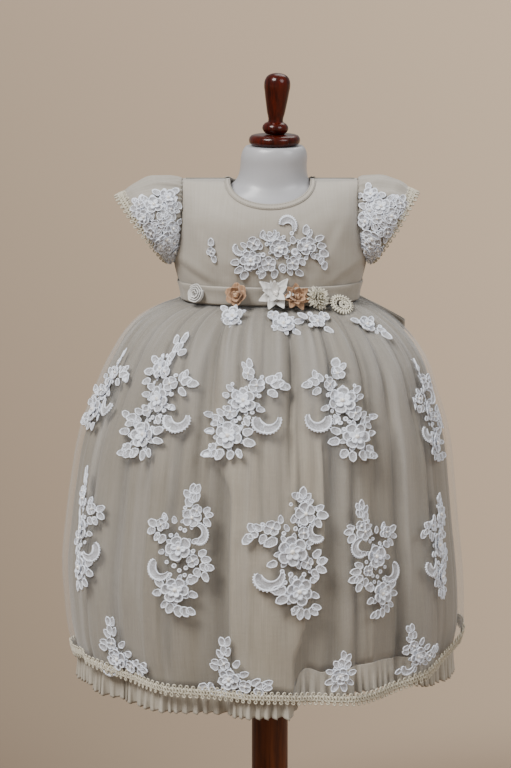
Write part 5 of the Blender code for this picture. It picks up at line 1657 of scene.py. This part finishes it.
makeBodiceLace()
makeSleeveLace()
print("bodice and sleeve lace made")

# ---- neck binding, seams and buttons

edging = {
    "bindingWide": 0.0058,
    "bindingThick": 0.0010,
    "stitchLong": 0.0020,
    "stitchStep": 0.0031,
    "stitchRound": 0.00032,
    "stitchRows": (0.0013, 0.0046),
}


def neckLine(front, count, inset):
    # The neckline's cloth, drawn in by a distance down from the edge.
    turn = np.linspace(-np.pi / 2, np.pi / 2, count)
    x = shape["neckHalf"] * np.sin(turn)
    low = shape["neckFront"] if front else shape["neckBack"]
    z = low + (shape["ridge"] - low) * (1 - np.cos(turn))
    # Away from the opening, along the cloth.
    dx, dz = np.sin(turn) * 0.9, -np.cos(turn) - 0.12
    size = np.hypot(dx, dz)
    return x + dx / size * inset, np.minimum(z + dz / size * inset, shape["ridge"] - 0.0006)


def makeNeckBinding():
    stack = Gathering()
    for front, name in ((True, "front"), (False, "back")):
        count = 81 if front else 61
        rows, outs = [], []
        for inset in np.linspace(0.0, edging["bindingWide"], 5):
            x, z = neckLine(front, count, inset)
            points, normals = onBodice(x, z, front)
            rows.append(points)
            outs.append(normals)
        points, outs = np.array(rows), np.array(outs)
        outs = outs + 0.25 * outs.mean(axis=(0, 1))
        outs /= np.linalg.norm(outs, axis=2, keepdims=True)
        crown = np.array((0.6, 1.0, 1.0, 1.0, 0.6))[:, None, None] * edging["bindingThick"]
        if not front:
            points, outs = points[:, ::-1], outs[:, ::-1]
        piece = clothShell(f"neckline_binding_{name}", points + outs * (crown + 0.0004), outs,
                           0.0009, "bodiceCloth")
        fixFacing(piece)
        if front:
            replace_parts(piece, "neck_binding_front")
        else:
            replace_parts(piece, "neck_binding_back_left", "neck_binding_back_right")
        for inset in edging["stitchRows"]:
            x, z = neckLine(front, 400, inset)
            line, normals = onBodice(x, z, front)
            addStitches(stack, line + normals * (edging["bindingThick"] + 0.0006), edging["stitchLong"],
                        edging["stitchStep"])
    for x in (-1, 1):
        across = np.linspace(shape["neckHalf"] + 0.004, shape["shoulderTip"] - 0.003, 60) * x
        line = np.column_stack((across, np.full(60, -0.0012), np.full(60, shape["ridge"] + 0.0003)))
        stack.add(*tubeAlong(line, 0.00055, 6))
    for x in (-1, 1):
        z = np.linspace(shape["underarm"] - 0.003, shape["beltTop"], 30)
        width = bodiceSection(z)[0]
        stack.add(*tubeAlong(np.column_stack((x * (width + 0.0002), np.zeros(30), z)), 0.0005, 6, False,
                             np.array((1.0, 0, 0))))
    stack.make("seam_stitches", "stitch")


def addStitches(stack, line, long, step):
    # Short raised threads at equal steps along a line of points.
    along = np.concatenate(((0,), np.cumsum(np.linalg.norm(np.diff(line, axis=0), axis=1))))
    at = np.arange(step * 0.5, along[-1] - long, step)
    swell = np.array((0.45, 1.0, 1.0, 0.45)) * edging["stitchRound"]
    for start in at:
        spots = start + long * np.array((0.0, 0.25, 0.75, 1.0))
        points = np.column_stack([np.interp(spots, along, line[:, k]) for k in range(3)])
        stack.add(*tubeAlong(points, swell, 5))


buttonProfile = ((0.0, 0.0), (0.0042, 0.0), (0.0047, 0.0005), (0.0048, 0.0010), (0.0045, 0.0016),
                 (0.0038, 0.0019), (0.0033, 0.0017), (0.0024, 0.0019), (0.0012, 0.0022), (0.0004, 0.0023),
                 (0.0, 0.0023))


def makeButtons():
    for number in range(1, 5):
        low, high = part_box(f"back_button_{number}")
        middle = (low + high) / 2
        button = turnedPiece(f"pearl_button_{number}", buttonProfile, (0, 0), 0.0, "pearl", 28)
        spot, normal = onBodice(np.array([middle.x]), np.array([middle.z]), False)
        out = Vector(normal[0])
        turn = out.to_track_quat("Z", "Y").to_matrix().to_4x4()
        button.data.transform(Matrix.Translation(Vector(spot[0]) + out * 0.0010) @ turn)
        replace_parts(button, f"back_button_{number}")


makeNeckBinding()
makeButtons()
print("edges and buttons made")

# ---- belt and its flowers

belt = {
    "grow": 1.18,  # the flowers' loose edges spread a little past the solid trims
}


def makeBand():
    count = 360
    turn = np.linspace(-np.pi, np.pi, count, endpoint=False)
    heights = np.array((0.7222, 0.7205, 0.7165, 0.7120, 0.7070, 0.7025, 0.7008))
    puff = np.array((0.0, 0.0007, 0.0009, 0.0006, 0.0009, 0.0007, 0.0))
    rows = []
    for z, out in zip(heights, puff):
        width, depth = bodiceSection(np.array(z))
        s, c = np.sin(turn), np.cos(turn)
        fold = 0.0003 * np.sin(23 * turn + 40 * z) + 0.0003 * np.sin(9 * turn + 700 * z)
        grow = 0.0013 + out + fold
        x = np.sign(s) * np.abs(s) ** (2 / shape["power"]) * (width + grow)
        y = -np.sign(c) * np.abs(c) ** (2 / shape["power"]) * (depth + grow)
        rows.append(np.column_stack((x, y, np.full(count, z))))
    points = np.array(rows)
    piece = clothShell("belt_ribbon", points, gridNormals(points, True), 0.0006, "bodiceCloth", True)
    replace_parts(piece, "belt_band")


def facing(node, tilt):
    # The middle of a belt flower's back, and its outward and upward directions.
    low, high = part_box(node)
    middle = (low + high) / 2
    turn = math.atan2(abs(middle.x) ** 1.4 * 6.0, 0.066) * 0.55
    tip = math.radians(tilt)
    out = Vector((math.copysign(math.sin(turn) * math.cos(tip), middle.x), -math.cos(turn) * math.cos(tip),
                  math.sin(tip)))
    side = Vector((0, 0, 1)).cross(out).normalized()
    return middle, side, out.cross(side), out


def setFacing(verts, node, tilt, sink=0.0):
    middle, side, up, out = facing(node, tilt)
    verts = np.asarray(verts, float) * 0.001 * belt["grow"]
    return (np.array(middle) + verts[:, :1] * np.array(side) + verts[:, 1:2] * np.array(up)
            + (verts[:, 2:3] - sink) * np.array(out))


def clothPetal(length, width, curl, cup, pointed=0.0, rows=8, columns=7, twist=0.0):
    # A thin closed petal: wide past its middle, curled at the tip and cupped across.
    t = np.linspace(0, 1, rows)[:, None]
    s = np.linspace(-1, 1, columns)[None, :]
    body = np.sin(np.pi * np.clip(t * 0.86 + 0.07, 0, 1)) ** 0.75
    body = body * (1 - pointed * t**2.2) + 0.10 * (1 - t)
    x = length * t + 0 * s
    y = width / 2 * body * s
    z = curl * t**2 + cup * (s**2 - 0.4) * np.sin(np.pi * t) + twist * s * t
    top = np.stack((x, y, z), -1)
    thick = 0.35
    bottom = top - (0, 0, thick)
    verts = np.concatenate((top.reshape(-1, 3), bottom.reshape(-1, 3)))
    n = rows * columns
    faces = []
    for r in range(rows - 1):
        for c in range(columns - 1):
            a = r * columns + c
            quad = (a, a + columns, a + columns + 1, a + 1)
            faces += [quad, tuple(i + n for i in quad[::-1])]
    ring = ([c for c in range(columns)] + [r * columns + columns - 1 for r in range(1, rows)]
            + [(rows - 1) * columns + c for c in range(columns - 2, -1, -1)]
            + [r * columns for r in range(rows - 2, 0, -1)])
    for a, b in zip(ring, ring[1:] + ring[:1]):
        faces.append((a, b, b + n, a + n))
    return verts, faces


def tilted(verts, degrees):
    # Lifts a petal about its foot.
    a = math.radians(degrees)
    out = verts.copy()
    out[:, 0] = verts[:, 0] * math.cos(a) - verts[:, 2] * math.sin(a)
    out[:, 2] = verts[:, 0] * math.sin(a) + verts[:, 2] * math.cos(a)
    return out


def petalFlower(name, node, finish, tilt, layers, seed, ball=None):
    # layers: petals, length, width, lift in degrees, curl, cup, pointedness, height of the foot.
    draw = np.random.default_rng(seed)
    stack = Gathering()
    for petals, length, width, lift, curl, cup, pointed, foot in layers:
        start = draw.uniform(0, 360)
        for k in range(petals):
            verts, faces = clothPetal(length * draw.uniform(0.92, 1.08), width * draw.uniform(0.92, 1.08),
                                      curl * draw.uniform(0.6, 1.3), cup, pointed,
                                      twist=draw.uniform(-0.8, 0.8))
            verts = tilted(verts, lift + draw.uniform(-5, 5))
            verts = turnedFlat(verts, start + 360 * k / petals + draw.uniform(-6, 6))
            verts[:, 2] += foot + 0.25 * (k % 2)
            stack.add(setFacing(verts, node, tilt), faces, 0)
    if ball:
        radius, height = ball
        for k, (x, y) in enumerate(((0, 0), (0.5, 0.6), (-0.6, 0.4), (0.1, -0.7))):
            verts, faces = domePart(radius * (1 - 0.2 * (k > 0)), radius * 1.3, 10)
            verts = verts + (x * radius, y * radius, height - 0.4 * (k > 0))
            stack.add(setFacing(verts, node, tilt), faces, 1)
    piece = stack.make(name, finish)
    fixFacing(piece)
    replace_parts(piece, node)
    return piece


def makeRosette():
    # A satin strip rolled into a flat coil, standing on edge and leaning outwards.
    node, tilt = "belt_rosette", 18
    count = 132
    t = np.linspace(0, 1, count)
    turn = t * 2 * np.pi * 3.4
    radius = 0.9 + 7.4 * t**0.9 + 0.22 * np.sin(5 * turn)
    rows = []
    for height, lean in ((0.0, 0.3), (1.4, 0.0), (3.2, 0.25), (4.6, 0.8), (5.0, 1.25), (4.7, 1.7)):
        r = radius + lean + 0.18 * np.sin(7 * turn + height)
        rise = height * (1.15 - 0.38 * t)
        rows.append(np.column_stack((r * np.cos(turn), r * np.sin(turn), rise)))
    rows = np.array(rows)
    thick = rows - np.array((0.0, 0.0, 0.0))
    inner = rows.copy()
    centre = np.array((0.0, 0.0, 0.0))
    away = rows - centre
    away[..., 2] = 0
    away /= np.linalg.norm(away, axis=2, keepdims=True)
    inner = rows - away * 0.4
    n, columns = rows.shape[0] * rows.shape[1], rows.shape[1]
    verts = np.concatenate((thick.reshape(-1, 3), inner.reshape(-1, 3)))
    faces = []
    for r in range(len(rows) - 1):
        for c in range(columns - 1):
            a = r * columns + c
            quad = (a, a + 1, a + columns + 1, a + columns)
            faces += [quad, tuple(i + n for i in quad[::-1])]
    last = (len(rows) - 1) * columns
    ring = (list(range(columns)) + [r * columns + columns - 1 for r in range(1, len(rows))]
            + [last + c for c in range(columns - 2, -1, -1)] + [r * columns for r in range(len(rows) - 2, 0, -1)])
    faces += [(b, a, a + n, b + n) for a, b in zip(ring, ring[1:] + ring[:1])]
    stack = Gathering()
    stack.add(setFacing(verts - (0, 0, 3.0), node, tilt), faces)
    base, baseFaces = domePart(8.2, 1.2, 20)
    stack.add(setFacing(base - (0, 0, 3.2), node, tilt), baseFaces)
    piece = stack.make("satin_rosette", "satin")
    fixFacing(piece)
    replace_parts(piece, node)


def makePompon():
    node, tilt = "belt_pompon", 20
    draw = np.random.default_rng(3)
    stack = Gathering()
    for lift, count, length in ((4, 20, 12.0), (22, 19, 11.8), (40, 17, 11.2), (57, 13, 10.6), (75, 8, 10.0)):
        for k in range(count):
            verts, faces = clothPetal(length * draw.uniform(0.9, 1.08), 3.6, 0.8, 0.7, 0.35, 5, 4)
            verts = tilted(verts, lift + draw.uniform(-6, 6))
            verts = turnedFlat(verts, 360 * k / count + draw.uniform(-7, 7) + lift * 3)
            stack.add(setFacing(verts - (0, 0, 3.6), node, tilt), faces)
    piece = stack.make("ivory_pompon", "ivory")
    fixFacing(piece)
    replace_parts(piece, node)


def makeCoil():
    # Guipure ring: a looped cord round an oval, and a smaller swirl inside it.
    node, tilt = "belt_guipure_coil", 40
    stack = Gathering()

    def ring(rx, ry, loops, reach, radius, lift, x=0.0, y=0.0):
        count = loops * 12
        a = np.linspace(0, 2 * np.pi, count, endpoint=False)
        phase = loops * a
        grow = 1 + reach / rx * np.cos(phase)
        b = a - 0.5 * reach / rx * np.sin(phase)
        line = np.column_stack((x + rx * grow * np.cos(b), y + ry * grow * np.sin(b),
                                lift + 0.35 * np.sin(phase)))
        verts, faces = tubeAlong(line, radius, 5, True, np.array((0.0, 0.0, 1.0)))
        stack.add(setFacing(verts, node, tilt), faces)

    for args in ((11.4, 9.6, 24, 1.6, 0.75, 0.6), (10.0, 8.4, 24, 0.0, 0.9, 1.0), (7.6, 6.4, 17, 1.0, 0.6, 0.7),
                 (4.6, 3.9, 9, 0.0, 0.85, 1.4, 1.6, -1.0), (3.0, 2.5, 8, 1.0, 0.6, 1.2, 1.6, -1.0)):
        ring(*args)
    piece = stack.make("guipure_coil", "ivory")
    fixFacing(piece)
    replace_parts(piece, node)


beltLaceFlowers = {
    # node: new name, tilt, flowers, leaves, rings
    "belt_lace_flower_left": ("lace_flower_left", 40, ((0, 0, 12, 5, 2),), ((-8, 6, 150, 9),), ((9, -6, 2.3),)),
    "belt_lace_flower_middle": ("lace_flower_middle", 52, ((0, 0, 12.5, 5, 2), (-9, 11, 6, 4, 1)),
                                ((10, 2, 10, 11), (8, -8, -40, 10)), ((-10, -3, 2.3), (3, 12, 2.6))),
    "belt_lace_flower_right": ("lace_flower_right", 50, ((0, 0, 9, 5, 1), (10, 5, 6.5, 4, 1)),
                               ((-8, 5, 140, 10), (4, -8, -50, 10)), ((-3, 10, 2.8), (-9, -4, 2.4))),
    "belt_lace_spray": ("lace_spray", 48, ((-3, 3, 10, 5, 2),), ((6, -3, -25, 11), (9, -7, -50, 12),
                        (4, 6, 40, 9), (-9, 8, 150, 9)), ((3, -7, 2.3), (12, -1, 2.2))),
}


def makeBeltLace():
    for node, (name, tilt, flowers, leaves, rings) in beltLaceFlowers.items():
        motifs[name] = {"flowers": flowers, "scrolls": (), "leaves": leaves, "rings": rings}
        verts, faces, kinds = drawMotif(name, len(name) * 3)
        stack = Gathering()
        stack.add(setFacing(verts - (0, 0, 1.2), node, tilt), faces)
        stack.kinds = kinds
        piece = stack.make(name, ("lace", "pearl", "laceNet"))
        fixFacing(piece)
        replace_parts(piece, node)


makeBand()
makeRosette()
petalFlower("tan_flower_left", "belt_flower_tan_left", ("tan", "tanLight"), 20,
            ((6, 12.4, 11.5, 12, 2.0, 1.6, 0.15, -3.0), (5, 9.4, 9.4, 34, 2.2, 1.8, 0.1, -2.2),
             (4, 6.0, 6.4, 56, 1.4, 1.6, 0.0, -1.6)), 21, (2.6, 0.6))
petalFlower("tan_flower_right", "belt_flower_tan_right", ("tan", "tanLight"), 20,
            ((7, 14.2, 9.6, 10, 1.6, 1.6, 0.42, -3.2), (6, 10.6, 8.4, 30, 2.0, 1.6, 0.35, -2.4),
             (4, 6.0, 5.0, 55, 1.2, 1.2, 0.2, -1.6)), 22, (1.9, 0.6))
petalFlower("white_petal_flower", "belt_flower_petal", ("satin", "pearl"), 24,
            ((7, 18.0, 10.4, 8, 1.4, 1.4, 0.62, -2.6), (5, 13.4, 8.6, 24, 1.4, 1.4, 0.6, -1.8)), 23, (2.0, 0.3))
makePompon()
makeCoil()
makeBeltLace()
print("belt made")

# ---- bow

bow = {
    "height": 0.7110,
    "back": 0.0810,
    "clear": 0.0050,
    "root": 0.0135,
    "depth": 0.022,
    "lean": 0.30,
    # side, reach, height of the far end's top, half width
    "loops": (("left", -1, 0.124, 0.676, 0.022), ("right", 1, 0.157, 0.662, 0.024)),
    # side, where the end hangs, length
    "tails": (("left", -0.050, 0.235), ("right", 0.062, 0.215)),
    "thick": 0.0007,
}


def backDepth(x, z):
    # How far back the outermost cloth stands.
    if z >= skirt["top"]:
        width, depth = bodiceSection(np.array(z))
        share = min(abs(x) / float(width), 0.999)
        return float(depth) * (1 - share ** shape["power"]) ** (1 / shape["power"]) + 0.0026
    angles = np.radians(np.arange(85.0, 180.1, 1.0)) * (1 if x > 0 else -1)
    spots = bowl(angles, np.full_like(angles, z))
    order = np.argsort(np.abs(spots[:, 0]))
    return float(np.interp(abs(x), np.abs(spots[order, 0]), spots[order, 1], right=0.0))


def behind(x, z, half, lean, alongX):
    need = 0.0
    for share in (-1.0, 0.0, 1.0):
        dx, dz = (half * share, 0.0) if alongX else (0.0, half * share)
        need = max(need, backDepth(x + dx, z + dz) + dz * lean)
    return need + bow["clear"]


def smoothed(values, times):
    for _ in range(times):
        inner = (values[:-2] + 2 * values[1:-1] + values[2:]) / 4
        values = np.concatenate((values[:1], inner, values[-1:]))
    return values


def ribbonShell(name, path, halfWidths, way, ripple, seed, node, cut=0.0):
    # A band of cloth along a path, with small creases where it is gathered into the knot.
    path = np.array(path)
    ahead = np.gradient(path, axis=0)
    side = np.array(way, float) / np.linalg.norm(way)
    normals = np.cross(ahead, side)
    normals /= np.linalg.norm(normals, axis=1, keepdims=True)
    shares = np.linspace(-1, 1, 15)
    count = len(path)
    along = np.linspace(0, 1, count)
    rows = []
    for s in shares:
        pleat = np.sin(s * 9 + seed) * 0.8 + np.sin(s * 17 + 2 * seed) * 0.4
        roll = 0.0016 * np.sin(along * 7 + s * 2.5 + seed)
        line = path + side * (halfWidths * s)[:, None] + normals * (ripple * pleat + roll)[:, None]
        if cut:
            line = line + (path[-1] - path[-2]) / np.linalg.norm(path[-1] - path[-2]) * (
                cut * (s + 1) / 2 * ramp(along, 0.85, 1.0))[:, None]
        rows.append(line)
    points = np.array(rows).transpose(1, 0, 2)
    piece = clothShell(name, points, gridNormals(points, False), bow["thick"], "bodiceCloth")
    fixFacing(piece)
    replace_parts(piece, node)
    return piece


def makeBow():
    # The knot: a short band of cloth pulled round, with pleats.
    count, wide = 40, 17
    turn = np.linspace(0, 2 * np.pi, count, endpoint=False)
    rows = []
    for s in np.linspace(-1, 1, wide):
        pinch = 1 - 0.10 * s * s
        pleat = 0.0006 * np.sin(s * 15 + 0.5)
        z = bow["height"] + 0.013 * np.sin(turn) * pinch + (pleat + 0.0008 * s) * np.sin(turn)
        y = bow["back"] + (0.0080 * np.cos(turn) + pleat * np.cos(turn)) * (1 - 0.22 * s * s)
        x = 0.0108 * s + 0.0010 * np.sin(turn * 2 + s)
        rows.append(np.column_stack((x, y, z)))
    rows = np.array(rows)
    first = np.broadcast_to(rows[0].mean(axis=0), (1, count, 3))
    last = np.broadcast_to(rows[-1].mean(axis=0), (1, count, 3))
    ends = [first + (rows[0] - first) * k for k in (0.12, 0.6)]
    tails = [last + (rows[-1] - last) * k for k in (0.6, 0.12)]
    grid = np.concatenate(ends + [rows] + tails)
    verts = np.concatenate((grid.reshape(-1, 3), first[:, 0] - (0.0002, 0, 0), last[:, 0] + (0.0002, 0, 0)))
    faces = []
    n = len(grid)
    for r in range(n - 1):
        for c in range(count):
            d = (c + 1) % count
            faces.append((r * count + c, (r + 1) * count + c, (r + 1) * count + d, r * count + d))
    for c in range(count):
        d = (c + 1) % count
        faces.append((n * count, c, d))
        faces.append((n * count + 1, (n - 1) * count + d, (n - 1) * count + c))
    uvs = [(verts[i][0], verts[i][2]) for face in faces for i in face]
    knot = newPiece("bow_centre", verts, faces, "bodiceCloth", uvs)
    fixFacing(knot)
    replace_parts(knot, "bow_knot")
    for name, side, reach, endTop, half in bow["loops"]:
        count = 65
        path, widths = [], []
        for k in range(count):
            turn = math.pi * k / (count - 1)
            along = math.sin(turn) ** 0.7
            x = side * (bow["root"] + (reach - bow["root"]) * along)
            width = 0.009 + (half - 0.009) * min(along * 1.5, 1.0)
            top = bow["height"] + 0.009 + (endTop - bow["height"] - 0.009) * along**1.3
            z = top - width
            y = max(behind(x, z, width, bow["lean"], False), bow["back"] + 0.002 * along)
            y += bow["depth"] * (0.15 + 0.85 * along) * (1 - math.cos(turn)) / 2
            path.append((x, y, z))
            widths.append(width)
        path = np.column_stack([smoothed(np.array(path)[:, k], 3) for k in range(3)])
        near = np.abs(path[:, 0]) - bow["root"]
        ripple = 0.0009 * np.exp(-((near / 0.05) ** 2)) + 0.0003
        ribbonShell(f"bow_loop_cloth_{name}", path, np.array(widths), (0, -bow["lean"], 1), ripple,
                    1.0 + side, f"bow_loop_{name}")
    for name, end, length in bow["tails"]:
        side = math.copysign(1, end)
        path, widths = [], []
        count = 61
        for k in range(count):
            v = (k / (count - 1)) ** 1.5
            z = bow["height"] - 0.0150 - length * v
            width = 0.005 + 0.017 * min(v * 3, 1.0)
            x = side * 0.009 + (end - side * 0.009) * v**0.8
            x = side * max(abs(x), width + 0.0010)
            path.append((x, behind(x, z, width, 0.0, True), z))
            widths.append(width)
        path = np.column_stack([smoothed(np.array(path)[:, k], 2) for k in range(3)])
        down = np.linspace(0, 1, count)
        ripple = 0.0008 * np.exp(-((down / 0.25) ** 2)) + 0.0004 + 0.0005 * down
        ribbonShell(f"bow_tail_cloth_{name}", path, np.array(widths), (1, 0, 0), ripple, 2.0 + side,
                    f"bow_tail_{name}")


makeBow()
print("bow made")


# ---- the gathered cloth as it was cut, as much of it as shows, with what is sewn to it


# ---- finish of the frame's parts that still show

for name in sorted(nodes):
    node = nodes[name]
    if not node.hide_render:
        node.data.materials.clear()
        node.data.materials.append(finishes["lace"])
